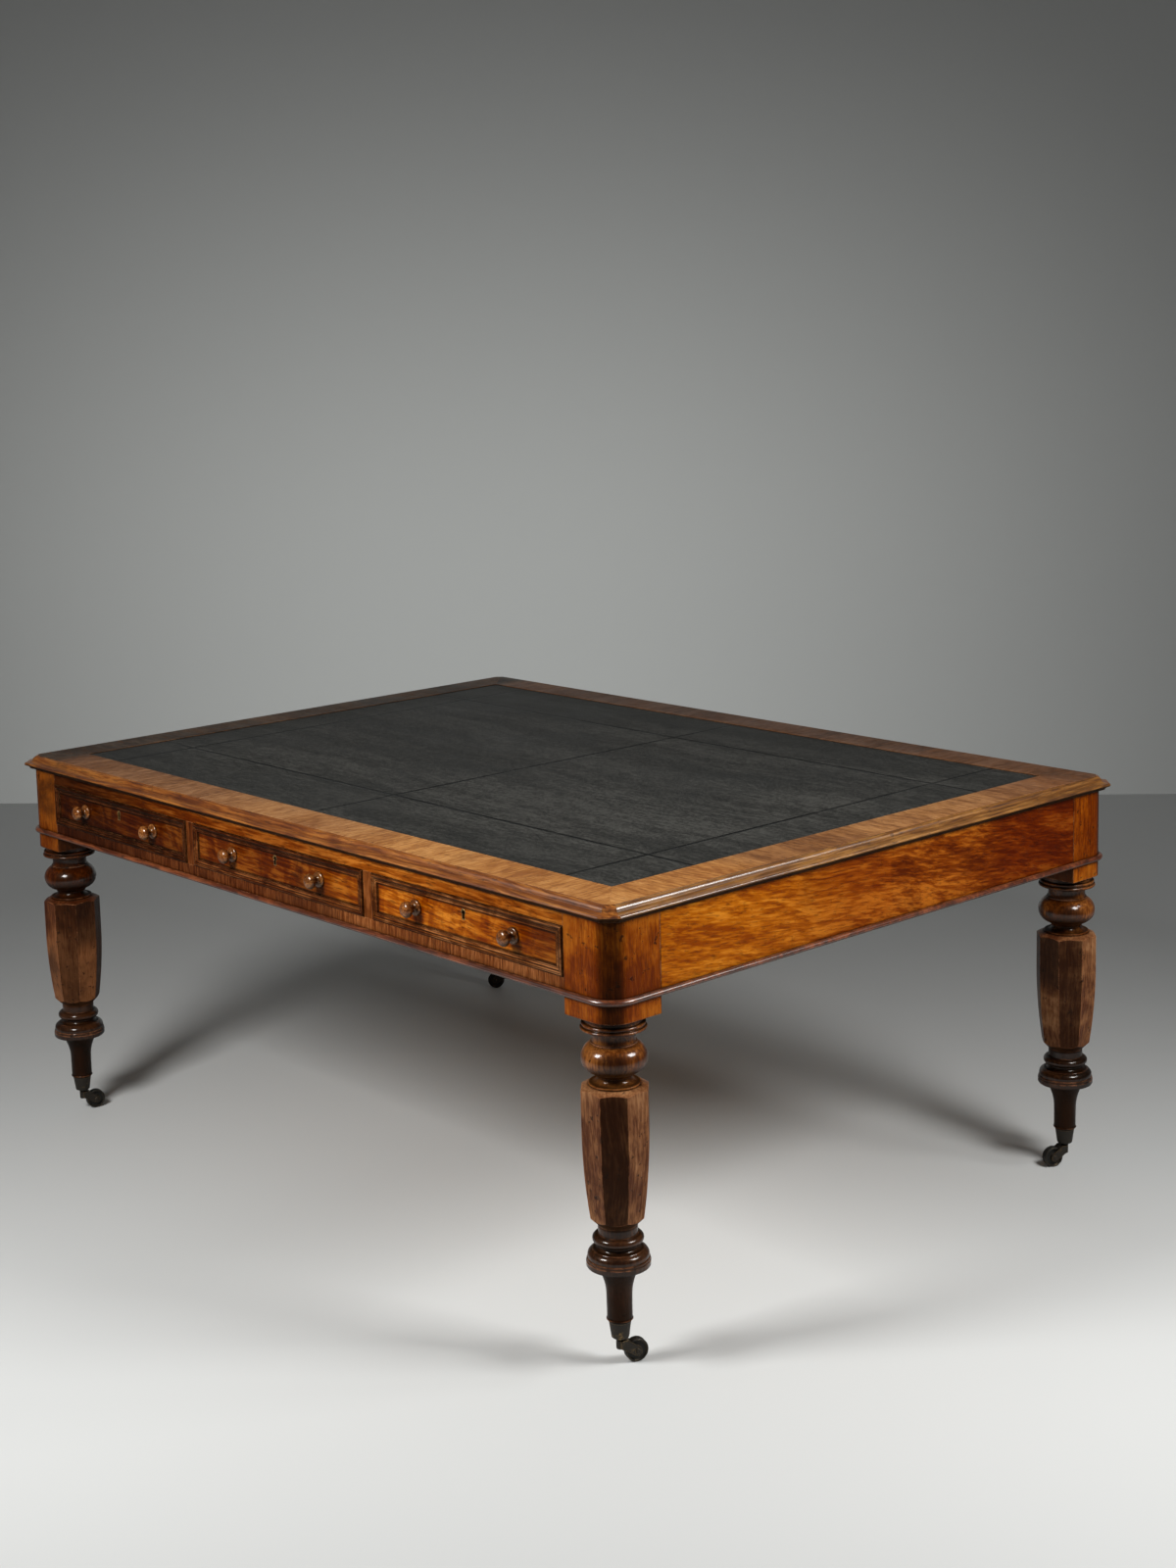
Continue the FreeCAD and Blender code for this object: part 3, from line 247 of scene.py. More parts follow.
def timber(name, look):
    finish = Finish(name)
    x, y, z = finish.where()
    spot = {"x": x, "y": y, "z": z}
    along, across, through = {"x": (x, y, z), "y": (y, z, x), "z": (z, x, y)}[look["grain"]]
    start = look["start"]

    def blotches(which, shiftX=0.0, shiftZ=0.0):  # noise that runs alike in every direction
        rate, *kind = growth[which]
        place = finish.point(x * rate + shiftX, y * rate, z * rate + shiftZ)
        return finish.noise(place, *kind)

    wander = blotches("wander", start) - 0.5
    slope = along * look["lean"]
    side = across + wander * growth["sideDrift"] + slope
    back = through + wander * growth["backDrift"] + slope

    def fibres(alongRate, acrossRate, detail, bend):
        place = finish.point(along * alongRate + start, side * acrossRate, back * acrossRate)
        return finish.noise(place, detail, growth["fibreRoughness"], bend)

    bands = finish.spread(fibres(*growth["bands"]))
    rate, thin = look["streakRate"], look["streakThin"]
    streaks = fibres(rate, rate * thin, growth["streakDetail"], growth["streakBend"])
    streaks = finish.spread(streaks)
    lines = finish.spread(fibres(*growth["lines"]), growth["lineSpread"])
    pores = finish.rise(fibres(*growth["pores"]), *growth["poreReach"])
    wave = along * look["rippleRate"] + side * growth["rippleSlant"]
    wave = wave + wander * growth["rippleDrift"]
    rate = growth["rippleSide"]
    ripple = finish.point(wave, side * rate + start, back * rate)
    ripple = finish.spread(finish.noise(ripple, *growth["rippleNoise"]))
    stain = blotches("stain", start)
    layers = (bands, streaks, lines, ripple, finish.spread(stain, growth["stainSpread"]))
    figure = sum(layer * share for layer, share in zip(layers, look["figure"]))

    def shades(tones):
        stops = [(place, tone(*shade)) for place, shade in zip(growth["toneStops"], tones)]
        return finish.ramp(figure, stops)

    def facing(axis):  # a part of the normal: x is 0, y is 1 and z is 2
        normal = finish.node("ShaderNodeNewGeometry", output="Normal")
        return finish.node("ShaderNodeSeparateXYZ", sockets={0: normal}, output=axis)

    colour = shades(look["tones"])
    for part in look["parts"]:
        reach = finish.rise(spot[part["axis"]], part["start"], part["stop"])
        colour = finish.mix(reach * part["share"], colour, shades(part["tones"]))
    colour = finish.mix(pores * look["pores"], colour, tone(*look["poreTone"]))
    stained = finish.rise(stain, *growth["stainReach"])
    colour = finish.mix(stained * look["stain"], colour, tone(*look["stainTone"]))

    if look["joints"]:  # the banding is laid in short lengths, each a little different
        run = {"x": y, "y": x}[look["grain"]]
        length = (run * look["joints"] + bandJoint["shift"]).maths("FLOOR")
        own = finish.node("ShaderNodeTexWhiteNoise", {"noise_dimensions": "1D"}, {"W": length})
        own = (own - bandJoint["darker"]) * bandJoint["share"]
        colour = finish.mix(own, colour, tone(*look["tones"][0]))
    if look["frame"]:  # the moulding planted round a drawer's face, with painted shade in its quirks
        centreX, centreZ, halfLength, halfHeight = look["frame"]
        inset = (halfLength - abs(x - centreX)).maths("MINIMUM", halfHeight - abs(z - centreZ))
        planted = (1 - finish.rise(inset, *drawerMoulding["inner"])) * drawerMoulding["share"]
        colour = finish.mix(planted, colour, shades(look["frameTones"]))
        sharp, soft = drawerMoulding["quirkBlur"]
        for place, half in drawerMoulding["quirks"]:
            quirk = 1 - finish.rise(abs(inset - place), half * sharp, half * soft)
            quirk = quirk * drawerMoulding["quirkShare"]
            colour = finish.mix(quirk, colour, tone(*look["dirtTone"]))
    for axis, place in look["seams"]:  # a glue line that has gone black
        gap = abs(abs(spot[axis]) - place)
        seam = 1 - finish.rise(gap, *glueLine["width"])
        colour = finish.mix(seam * glueLine["share"], colour, tone(*look["dirtTone"]))
    if look["corner"]:  # painted shade: the faces that look out cornerwise are much darker
        mask = finish.rise(abs(facing(0) * facing(1)) * 2, *handling["turn"])
        higher = finish.rise(z, *handling["height"]) * handling["higherShare"]
        mask = mask * (higher + handling["share"])
        mask = mask * (1 - figure * handling["throughFigure"])
        colour = finish.mix(mask * look["corner"], colour, tone(*look["cornerTone"]))

    flecks = finish.rise(blotches("flecks", shiftZ=start), *growth["fleckReach"])
    colour = finish.mix(flecks * look["flecks"], colour, tone(*look["fleckTone"]))
    edge, softened = finish.wornEdge(look["edge"])
    rubbed = edge * finish.spread(blotches("rubbing"))
    colour = finish.mix(rubbed * look["wear"], colour, tone(*look["wornTone"]))
    # dirt and painted shade where corners are tight
    dirt = finish.corners(look["dirtReach"], look["ownOnly"])
    under = 1 - finish.rise(facing(2), *look["underReach"])
    dirt = dirt.maths("MAXIMUM", under * look["under"])  # painted shade on the undersides
    colour = finish.mix(dirt * look["dirt"], colour, tone(*look["dirtTone"]))

    smear = blotches("smears", start) - 0.5
    roughness = look["roughness"] + smear * growth["smearDull"]
    roughness = roughness + pores * growth["poreDull"] + dirt * growth["dirtDull"]
    height = lines * growth["lineHeight"] - pores * growth["poreDepth"]
    height = height - flecks * growth["fleckDepth"] * look["flecks"]
    height = height + blotches("dents", shiftZ=start) * look["dents"]
    polish = look["polish"]
    if look["turned"]:  # the lathe's work took a shine, the flats between were only oiled
        blend = oiled["blend"]
        shine = sum(finish.rise(z, low, low + blend) - finish.rise(z, high - blend, high)
                    for low, high in look["turned"])
        polish = shine * (look["polish"] - oiled["polish"]) + oiled["polish"]
    if look["polish"]:
        polish = (1 - dirt) * polish
    return finish.close(
        colour,
        roughness,
        height,
        growth["relief"],
        softened,
        Specular_IOR_Level=look["sheen"],
        Specular_Tint=growth["varnish"],
        Coat_Weight=polish,
        Coat_Roughness=look["polishRoughness"],
        Coat_IOR=look["polishDepth"],
    )


mahogany = {
    "grain": "x",
    "start": 0.0,
    "lean": 0.0,
    "tones": ((90, 36, 0), (134, 66, 14), (184, 110, 40)),  # deep, plain and bright
    "figure": (0.24, 0.30, 0.16, 0.16, 0.14),  # bands, streaks, lines, ripple, stain: 1 in all
    "streakRate": 9,
    "streakThin": 10,  # how many times longer than wide a streak is
    "rippleRate": 16,
    "parts": (),  # where other tones take over, in order
    "joints": 0,  # lengths of banding per metre
    "frame": None,  # a drawer front's middle and half sizes
    "seams": (),
    # painted shade on faces that look out cornerwise
    "corner": 0,
    "cornerTone": (30, 8, 0),
    "pores": 0.55,
    "poreTone": (40, 14, 3),
    "stain": 0.5,
    "stainTone": (40, 15, 4),
    "flecks": 0.25,
    "fleckTone": (30, 12, 6),
    "edge": 0.0018,
    "wear": 0.6,
    "wornTone": (180, 120, 74),
    # dirt and painted shade in tight corners
    "dirt": 0.9,
    "dirtReach": 0.012,
    "dirtTone": (16, 6, 2),
    "ownOnly": False,
    "under": 0.8,  # painted shade on what looks down
    "underReach": (-0.6, -0.1),  # the normal's upward part where that is full, and where it ends
    "roughness": 0.40,
    "sheen": 0.09,
    "dents": 1.2,
    "polish": 0.07,
    "polishRoughness": 0.16,
    "polishDepth": 1.5,
    "turned": (),
}


def kindOf(**changes):
    return {**mahogany, **changes}


endRail = kindOf(
    grain="y", lean=0.14, streakRate=7, streakThin=24, rippleRate=11, wear=0.5, dirtReach=0.03,
    pores=0.4, stain=0.3,
    tones=((122, 52, 0), (160, 85, 4), (194, 118, 28)),
    figure=(0.26, 0.26, 0.20, 0.18, 0.10),
    parts=(
        turnsTo("y", -0.38, -0.04, ((88, 28, 0), (122, 54, 2), (158, 86, 18))),
        # two sheets of veneer meet here
        turnsTo("y", 0.011, 0.019, ((72, 22, 0), (112, 48, 2), (160, 88, 20))),
        turnsTo("y", 0.22, 0.36, ((68, 16, 0), (96, 33, 0), (124, 58, 8))),
    ),
    seams=(("y", 0.531),),
)
railWood = kindOf(
    grain="z", streakRate=24, streakThin=9, rippleRate=8,
    pores=0.5, stain=0.5, wear=0.7, dirtReach=0.02,
    tones=((84, 38, 10), (112, 60, 24), (142, 86, 46)),
    figure=(0.14, 0.40, 0.22, 0.06, 0.18),
    parts=(
        # painted shade: darker towards the left end, as the light falls off
        turnsTo("x", 0.30, 0.05, ((52, 16, 0), (76, 33, 10), (100, 52, 22)), 0.9),
        turnsTo("x", -0.25, -0.75, ((26, 4, 0), (40, 10, 0), (58, 22, 8)), 0.9),
    ),
)
dividerWood = kindOf(
    grain="z", streakRate=24, streakThin=5, tones=((60, 22, 2), (96, 48, 14), (124, 70, 32)),
    # painted shade: darker towards the left, as the light falls off
    parts=(turnsTo("x", 0.10, -0.20, ((50, 18, 2), (84, 38, 10), (108, 58, 24))),),
)
topRailWood = kindOf(
    tones=((94, 38, 0), (134, 66, 8), (174, 102, 32)),
    dirtReach=0.03, streakRate=10, streakThin=14, polish=0.04, sheen=0.05,
    figure=(0.20, 0.36, 0.22, 0.06, 0.16),
    parts=(
        # painted shade: darker towards the left end, as the light falls off
        turnsTo("x", 0.30, 0.05, ((74, 24, 0), (108, 48, 4), (140, 76, 22)), 0.9),
        turnsTo("x", -0.20, -0.70, ((16, 1, 0), (36, 9, 0), (60, 24, 4)), 0.95),
    ),
)
banding = kindOf(
    grain="y", tones=((130, 78, 34), (162, 108, 54), (186, 132, 74)),
    figure=(0.22, 0.30, 0.22, 0.06, 0.20), streakRate=38, streakThin=4,
    parts=(
        turnsTo("x", 0.35, 0.10, ((112, 68, 34), (140, 94, 54), (162, 116, 72)), 0.9),
        turnsTo("x", -0.05, -0.35, ((94, 58, 32), (124, 83, 50), (148, 105, 70)), 0.9),
        turnsTo("y", -0.36, -0.24, ((86, 51, 24), (120, 77, 42), (146, 100, 57))),
        turnsTo("y", -0.08, 0.06, ((108, 67, 34), (146, 99, 56), (172, 123, 74))),
        turnsTo("y", 0.15, 0.55, ((84, 50, 28), (114, 74, 46), (136, 94, 60))),
        turnsTo("y", 0.520, 0.575, ((56, 36, 24), (82, 56, 40), (104, 76, 58))),
        turnsTo("x", -0.40, -0.76, ((72, 42, 24), (98, 62, 38), (122, 84, 56)), 0.9),
        turnsTo("x", -0.74, -0.80, ((34, 22, 14), (50, 38, 28), (74, 58, 44))),
    ),
    pores=0.55, poreTone=(100, 58, 24), stain=0.35, stainTone=(96, 56, 24), flecks=0.4,
    joints=3.4, roughness=0.46, dents=0.8, dirtReach=0.008, dirt=0.8,
)
edgeWood = kindOf(
    tones=((82, 36, 2), (118, 62, 12), (152, 92, 32)),
    streakRate=10, streakThin=16, dirtReach=0.016,
    # painted highlight: brighter towards the near corner
    parts=(turnsTo("x", 0.05, 0.50, ((98, 46, 6), (140, 78, 22), (180, 116, 48)), 0.5),),
    figure=(0.18, 0.34, 0.26, 0.06, 0.16),
    stain=0.5, flecks=0.5, roughness=0.40, dents=0.4,
    polish=1.0, polishRoughness=0.28, polishDepth=2.0, under=1.0, underReach=(-0.35, 0.12),
    wornTone=(170, 106, 54), wear=0.4, edge=0.0016,
)
beadWood = kindOf(
    tones=((50, 14, 2), (88, 38, 12), (128, 68, 34)), streakRate=14,
    flecks=0.7, wear=0.7, wornTone=(176, 112, 78), edge=0.0018, roughness=0.3, sheen=0.2,
    polish=1.0, polishRoughness=0.28, polishDepth=1.75, dirtReach=0.010,
)
legWood = kindOf(
    grain="z", tones=((90, 32, 0), (126, 58, 2), (156, 86, 16)), streakRate=42, streakThin=7,
    figure=(0.12, 0.20, 0.14, 0.04, 0.50),
    parts=(
        turnsTo("z", 0.5745, 0.5695, ((46, 16, 0), (90, 44, 10), (140, 84, 34))),
        turnsTo("z", 0.4625, 0.4600, ((72, 36, 18), (116, 74, 44), (152, 108, 72))),
        # painted shade: darker towards the left legs, as the light falls off
        turnsTo("x", 0.10, -0.60, ((40, 7, 0), (78, 28, 0), (112, 54, 12)), 0.55),
        turnsTo("z", 0.2360, 0.2310, ((10, 3, 0), (29, 13, 5), (64, 36, 18))),
        turnsTo("z", 0.1620, 0.1560, ((20, 10, 6), (32, 17, 10), (50, 30, 20))),
    ),
    seams=(("x", 0.770), ("y", 0.531)),
    corner=0.96,
    pores=0.25, stain=0.75, stainTone=(36, 12, 3), flecks=0.8, fleckTone=(20, 8, 3),
    wear=0.8, wornTone=(168, 108, 72), edge=0.0026, dirtReach=0.026, dirt=1.0,
    roughness=0.40, polish=0.6, polishRoughness=0.14, dents=2.0,
    turned=((0.1625, 0.2310), (0.4640, 0.5720)),
)
knobWood = kindOf(
    grain="y", tones=((56, 22, 4), (108, 58, 20), (164, 106, 52)), streakRate=30,
    roughness=0.3, sheen=0.3, polish=0.8, polishRoughness=0.16, polishDepth=1.5, wear=0.5,
    wornTone=(196, 134, 80), flecks=0.3, dirtReach=0.014, dents=0.6,
)
insideWood = kindOf(
    tones=((120, 82, 46), (158, 116, 72), (188, 148, 102)),
    stain=0.5, stainTone=(84, 56, 34), pores=0.4, poreTone=(96, 64, 38),
    roughness=0.68, polish=0.0, wear=0.3, wornTone=(196, 160, 118),
    under=0.0, dirt=0.6, dirtTone=(48, 34, 24), ownOnly=True,
)

# each front's own tones, with painted shade: the further left, the darker, as the light falls off
drawerTones = {
    "right": ((100, 36, 0), (142, 70, 2), (188, 112, 30)),
    "middle": ((56, 13, 0), (84, 31, 0), (122, 64, 14)),
    "left": ((28, 3, 0), (46, 13, 0), (72, 30, 2)),
}
frameTones = {
    "right": ((62, 26, 6), (110, 62, 28), (170, 114, 72)),
    "middle": ((46, 14, 2), (82, 38, 14), (128, 76, 40)),
    "left": ((30, 7, 0), (56, 20, 4), (84, 44, 20)),
}
drawerParts = {  # painted shade along each front, lighter towards the right; on the right front a painted knob shadow and a stain at its right end
    "right": turnsTo("x", 0.62, 0.74, drawerTones["middle"], 0.8),
    "middle": turnsTo("x", 0.06, 0.24, drawerTones["right"], 0.6),
    "left": turnsTo("x", -0.62, -0.48, drawerTones["middle"], 0.5),
}
drawerStep = 1.7  # how far apart the fronts are cut from the board


def drawerFace(node, start):
    low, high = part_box(node)
    middle, half = (low + high) / 2, (high - low) / 2
    hand = node.split("_")[1]
    # the tones carry painted shade, darker towards the left
    return timber(node.replace("_", " ") + " mahogany", kindOf(
        start=start, lean=0.06, tones=drawerTones[hand], frameTones=frameTones[hand],
        parts=(drawerParts[hand],), frame=(middle.x, middle.z, half.x, half.z),
        figure=(0.16, 0.32, 0.12, 0.26, 0.14), streakRate=14, streakThin=12, rippleRate=20,
        roughness=0.38, ownOnly=True, dirtReach=0.010, edge=0.0014, wear=0.6,
    ))


leather = {
    "ground": (45, 44, 41),
    "faded": (70, 69, 65),
    "dark": (27, 27, 25),
    "scuffed": (76, 76, 71),
    "speck": (150, 148, 140),
    # the tooled lines: burnished, and darkened further with painted shade in their grooves
    "burnished": (6, 6, 6),
    "toneStops": ((0.15, "dark"), (0.50, "ground"), (0.85, "faded")),
    # repeats per metre along x and y, then the noise's detail, roughness and bend
    "wander": (1.7, 1.7, 2, 0.5, 0.0),
    "streaks": (1.3, 15, 5, 0.6, 0.4),
    "cloud": (3.2, 4.5, 4, 0.6, 0.0),
    "fine": (26, 130, 3, 0.65, 0.0),
    "speckle": (150, 190, 2, 0.6, 0.0),
    "rare": (11, 11, 2, 0.5, 0.0),
    "worn": (8, 8, 3, 0.5, 0.0),
    "shares": (0.22, 0.16, 0.32, 0.30),  # of streaks, cloud, fine and speckle in the colour
    "spread": 0.14,
    "streakDrift": 3,
    # fine scuffs in every direction, and pale specks
    "scuffRate": (9, 26),
    "scuffDrift": 4,
    "scuffRaggedness": 2,
    "scuffWidth": 0.018,
    "scuffReach": (0.50, 0.66),
    "scuffShare": 0.35,
    "speckRate": 42,
    "speckSize": (0.02, 0.05),
    "speckReach": (0.62, 0.66),
    "speckShare": 0.5,
    # the hide's own pebbles and creases
    "pebbleRate": 900,
    "creaseRate": (150, 210),
    "creaseDrift": 20,
    "creaseWidth": 0.12,
    # what each adds to the height of the bump and to the roughness
    "pebbleHeight": 0.35,
    "creaseHeight": 0.5,
    "cloudHeight": 3.0,
    "streakHeight": 2.0,
    "relief": 0.00025,
    "roughness": 0.46,
    "cloudDull": 0.35,
    "fineDull": 0.18,
    "scuffDull": 0.1,
    "lineShine": 0.08,
    "sheen": 0.08,
    "endLine": 0.678,  # blind-tooled lines, from the middle of the desk
    "longLine": 0.365,
    "lineWidth": 0.0065,
    "lineDepth": 0.0004,
    "lineBlur": 0.0014,
    "lineShare": 0.7,
    "wornShare": 0.3,  # added where the leather is worn
    "wornReach": (0.30, 0.55),
    # across a line: places in line widths, and the share of its depth there
    "grooveSpan": ((-1, 0), (-0.5, 0), (-0.28, 0.75), (0, 1), (0.28, 0.75), (0.5, 0), (1, 0)),
    "margin": 0.09,  # outside the lines the leather darkens over this width
    "marginShare": 0.3,
    "lip": 0.0012,  # the skived edge turns down here
    "lipDrop": 0.0005,
    "steps": 40,  # plain rows of points from edge to edge
    "nearest": 0.0003,  # rows closer than this are made one
    "clearance": 0.0001,  # between the skirt's foot and the board
    "sharpest": math.radians(50),
}


def oldLeather(name, look):
    finish = Finish(name)
    x, y, z = finish.where()

    def patches(which, shiftX=0.0, shiftY=0.0, shiftZ=0.0):
        rateX, rateY, *kind = look[which]
        place = finish.point(x * rateX + shiftX, y * rateY + shiftY, z + shiftZ)
        return finish.noise(place, *kind)

    wander = patches("wander") - 0.5
    streaks = patches("streaks", wander, wander * look["streakDrift"])
    cloud = patches("cloud")
    fine = patches("fine")
    layers = [finish.spread(layer, look["spread"])
              for layer in (streaks, cloud, fine, patches("speckle"))]
    shade = sum(layer * share for layer, share in zip(layers, look["shares"]))
    colour = finish.ramp(shade, [(place, tone(*look[kind])) for place, kind in look["toneStops"]])

    rateX, rateY = look["scuffRate"]
    drift, ragged = wander * look["scuffDrift"], streaks * look["scuffRaggedness"]
    scuffs = finish.point(x * rateX + drift, y * rateY + ragged, z)
    scuffs = finish.cells(scuffs, "DISTANCE_TO_EDGE")
    scuffs = 1 - finish.rise(scuffs, 0.0, look["scuffWidth"])
    scuffs = scuffs * finish.rise(cloud, *look["scuffReach"])
    colour = finish.mix(scuffs * look["scuffShare"], colour, tone(*look["scuffed"]))
    rate = look["speckRate"]
    specks = finish.cells(finish.point(x * rate, y * rate, z))
    specks = 1 - finish.rise(specks, *look["speckSize"])
    specks = specks * finish.rise(patches("rare", shiftZ=4), *look["speckReach"])
    colour = finish.mix(specks * look["speckShare"], colour, tone(*look["speck"]))

    def tooled(distance):
        half = look["lineWidth"] / 2
        return 1 - finish.rise(distance, half, half + look["lineBlur"])

    def outside(distance, line):
        return finish.rise(distance, look[line], look[line] + look["margin"])

    # tooled lines, burnished and with painted shade in their grooves
    lines = tooled(abs(abs(x) - look["endLine"]))
    lines = lines.maths("MAXIMUM", tooled(abs(abs(y) - look["longLine"])))
    lines = lines.maths("MAXIMUM", tooled(abs(x)))
    worn = finish.rise(patches("worn", shiftZ=9), *look["wornReach"])
    worn = worn * look["wornShare"] + look["lineShare"]
    colour = finish.mix(lines * worn, colour, tone(*look["burnished"]))
    margin = outside(abs(x), "endLine").maths("MAXIMUM", outside(abs(y), "longLine"))
    colour = finish.mix(margin * look["marginShare"], colour, tone(*look["dark"]))

    rate = look["pebbleRate"]
    pebbles = finish.cells(finish.point(x * rate, y * rate, z * rate), "SMOOTH_F1")
    rateX, rateY = look["creaseRate"]
    creases = finish.point(x * rateX + wander * look["creaseDrift"], y * rateY, z)
    creases = finish.cells(creases, "DISTANCE_TO_EDGE")
    creases = finish.rise(creases, 0.0, look["creaseWidth"])
    height = pebbles * look["pebbleHeight"] + creases * look["creaseHeight"]
    height = height + cloud * look["cloudHeight"] + streaks * look["streakHeight"]
    roughness = look["roughness"] + (cloud - 0.5) * look["cloudDull"]
    roughness = roughness + (fine - 0.5) * look["fineDull"]
    roughness = roughness + scuffs * look["scuffDull"] - lines * look["lineShine"]
    return finish.close(
        colour, roughness, height, look["relief"], Specular_IOR_Level=look["sheen"]
    )


def rowsOfPoints(low, high, grooves):  # places from low to high, with the leather's drop at each
    width, depth, steps = leather["lineWidth"], leather["lineDepth"], leather["steps"]
    rows = [(low, 0), (high, 0)]
    rows += [(groove + step * width, share * depth)
             for groove in grooves for step, share in leather["grooveSpan"]]
    rows += [(low + (high - low) * k / steps, 0) for k in range(1, steps)]
    kept = []
    for place, sunk in sorted(rows):
        if kept and place - kept[-1][0] < leather["nearest"]:
            kept[-1] = (kept[-1][0], max(kept[-1][1], sunk))
        else:
            kept.append((place, sunk))
    return kept


def layLeather():
    low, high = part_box("leather_writing_surface")
    longWays = rowsOfPoints(low.x, high.x, (-leather["endLine"], 0, leather["endLine"]))
    shortWays = rowsOfPoints(low.y, high.y, (-leather["longLine"], leather["longLine"]))
    mesh = bmesh.new()
    grid = []
    for px, sunkX in longWays:
        row = []
        for py, sunkY in shortWays:
            fromEdge = min(px - low.x, high.x - px, py - low.y, high.y - py)
            turned = leather["lipDrop"] if fromEdge < leather["lip"] else 0
            row.append(mesh.verts.new((px, py, high.z - max(sunkX, sunkY) - turned)))
        grid.append(row)
    for near, far in zip(grid, grid[1:]):
        for n in range(len(near) - 1):
            mesh.faces.new((near[n], far[n], far[n + 1], near[n + 1]))
    rim = [e for e in mesh.edges if e.is_boundary]
    skirt = bmesh.ops.extrude_edge_only(mesh, edges=rim)["geom"]
    for part in skirt:
        if isinstance(part, bmesh.types.BMVert):
            part.co.z = low.z + leather["clearance"]
    bmesh.ops.recalc_face_normals(mesh, faces=mesh.faces)
    skin = bpy.data.meshes.new("leatherSkin")
    mesh.to_mesh(skin)
    mesh.free()
    piece = bpy.data.objects.new("tooled_leather", skin)
    bpy.context.scene.collection.objects.link(piece)
    skin.materials.append(oldLeather("old black leather", leather))
    skin.shade_smooth()
    skin.set_sharp_from_angle(angle=leather["sharpest"])
    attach(piece, "table")
    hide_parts("leather_writing_surface")


layLeather()
print("leather laid")


tarnishing = {  # what all the metals share
    # blotches: repeats per metre, detail, roughness and bend
    "tarnish": (90, 5, 0.65, 0.5),
    "cloud": (30, 3, 0.5, 0.0),
    "scratchRate": (300, 2200),  # round the piece, and up it
    "scratchDetail": 2,
    "shares": (0.6, 0.4),  # of tarnish and cloud
    "reach": 0.16,  # how far the noise rises from black to bare
    "edge": 0.0010,
    # dirt and painted shade in tight corners
    "dirtReach": 0.004,
    "dirtShare": 0.8,
    "dirtTone": (12, 10, 8),
    "roughness": 0.62,
    "bareShine": 0.34,
    "scratchDull": 0.12,
    "tarnishHeight": 0.6,
    "scratchHeight": 0.15,
    "relief": 0.0003,
    "metallic": (0.6, 0.4),  # where it is bare, over what it is everywhere
}
metals = {  # "black" is where the tarnish gives way, "rubbed" is how bare the edges are
    "caster_brass": {
        "metal": (140, 112, 70), "tarnish": (36, 30, 22), "black": 0.56, "rubbed": 0.9,
    },
    "wheel_brass": {
        "metal": (108, 92, 66), "tarnish": (26, 24, 20), "black": 0.58, "rubbed": 0.8,
    },
    "lock_brass": {
        "metal": (176, 138, 78), "tarnish": (70, 54, 34), "black": 0.44, "rubbed": 0.6,
    },
    "screw_steel": {
        "metal": (120, 116, 110), "tarnish": (54, 46, 40), "black": 0.46, "rubbed": 0.8,
    },
}


def oldMetal(name, look):
    finish = Finish(name)
    x, y, z = finish.where()

    def blotches(which, shift=0.0):
        rate, *kind = tarnishing[which]
        return finish.noise(finish.point(x * rate, y * rate, z * rate + shift), *kind)

    tarnish = blotches("tarnish")
    cloud = blotches("cloud", 3)
    around, upward = tarnishing["scratchRate"]
    scratch = finish.point(x * around, y * around, z * upward)
    scratch = finish.noise(scratch, tarnishing["scratchDetail"])
    ofTarnish, ofCloud = tarnishing["shares"]
    mask = tarnish * ofTarnish + cloud * ofCloud
    mask = finish.rise(mask, look["black"], look["black"] + tarnishing["reach"])
    edge, softened = finish.wornEdge(tarnishing["edge"])
    bare = (mask + edge * look["rubbed"]).maths("MINIMUM", 1)
    colour = finish.mix(bare, tone(*look["tarnish"]), tone(*look["metal"]))
    # dirt and painted shade in the metal's tight corners
    dirt = finish.corners(tarnishing["dirtReach"], True)
    colour = finish.mix(dirt * tarnishing["dirtShare"], colour, tone(*tarnishing["dirtTone"]))
    roughness = tarnishing["roughness"] - bare * tarnishing["bareShine"]
    roughness = roughness + (scratch - 0.5) * tarnishing["scratchDull"]
    height = tarnish * tarnishing["tarnishHeight"] + scratch * tarnishing["scratchHeight"]
    whereBare, everywhere = tarnishing["metallic"]
    metallic = bare * whereBare + everywhere
    return finish.close(
        colour, roughness, height, tarnishing["relief"], softened, Metallic=metallic
    )


timbers = {  # a name and a look for each slot
    "end_rail_wood": ("end rail mahogany", endRail),
    "leg_wood": ("turned leg mahogany", legWood),
    "bead_wood": ("bead mahogany", beadWood),
    "knob_wood": ("knob mahogany", knobWood),
    "drawer_box_wood": ("drawer lining oak", insideWood),
    "inner_wood": ("inside pine", {**insideWood, "grain": "y", "start": 3.1}),
    "top_board_wood": ("top board pine", {**insideWood, "start": 6.4}),
    "rail_wood": ("crossgrain rail mahogany", railWood),
    "border_banding": ("banding across y", banding),
    "edge_wood": ("edge moulding mahogany", edgeWood),
}
endMoulding = {
    **edgeWood, "grain": "y", "tones": ((76, 40, 4), (112, 68, 18), (150, 102, 44)), "parts": (),
}
topRailFinish = timber("top rail mahogany", topRailWood)
endBandingFinish = timber("banding across x", {**banding, "grain": "x"})
endMouldingFinish = timber("end moulding mahogany", endMoulding)
ownFinishes = {  # for pieces that differ from the rest of their slot
    "drawer_dividers": timber("divider mahogany", dividerWood),
    "front_top_rail": topRailFinish,
    "back_top_rail": topRailFinish,
    "border_left": endBandingFinish,
    "border_right": endBandingFinish,
    "edge_moulding_left": endMouldingFinish,
    "edge_moulding_right": endMouldingFinish,
}
finishes = {slot: oldMetal(slot.replace("_", " "), look) for slot, look in metals.items()}
finishes.update({slot: timber(name, look) for slot, (name, look) in timbers.items()})
drawerFronts = sorted(name for name in nodes if name.endswith("_drawer_front"))
for number, node in enumerate(drawerFronts):
    ownFinishes[node] = drawerFace(node, number * drawerStep)
print("finishes mixed")

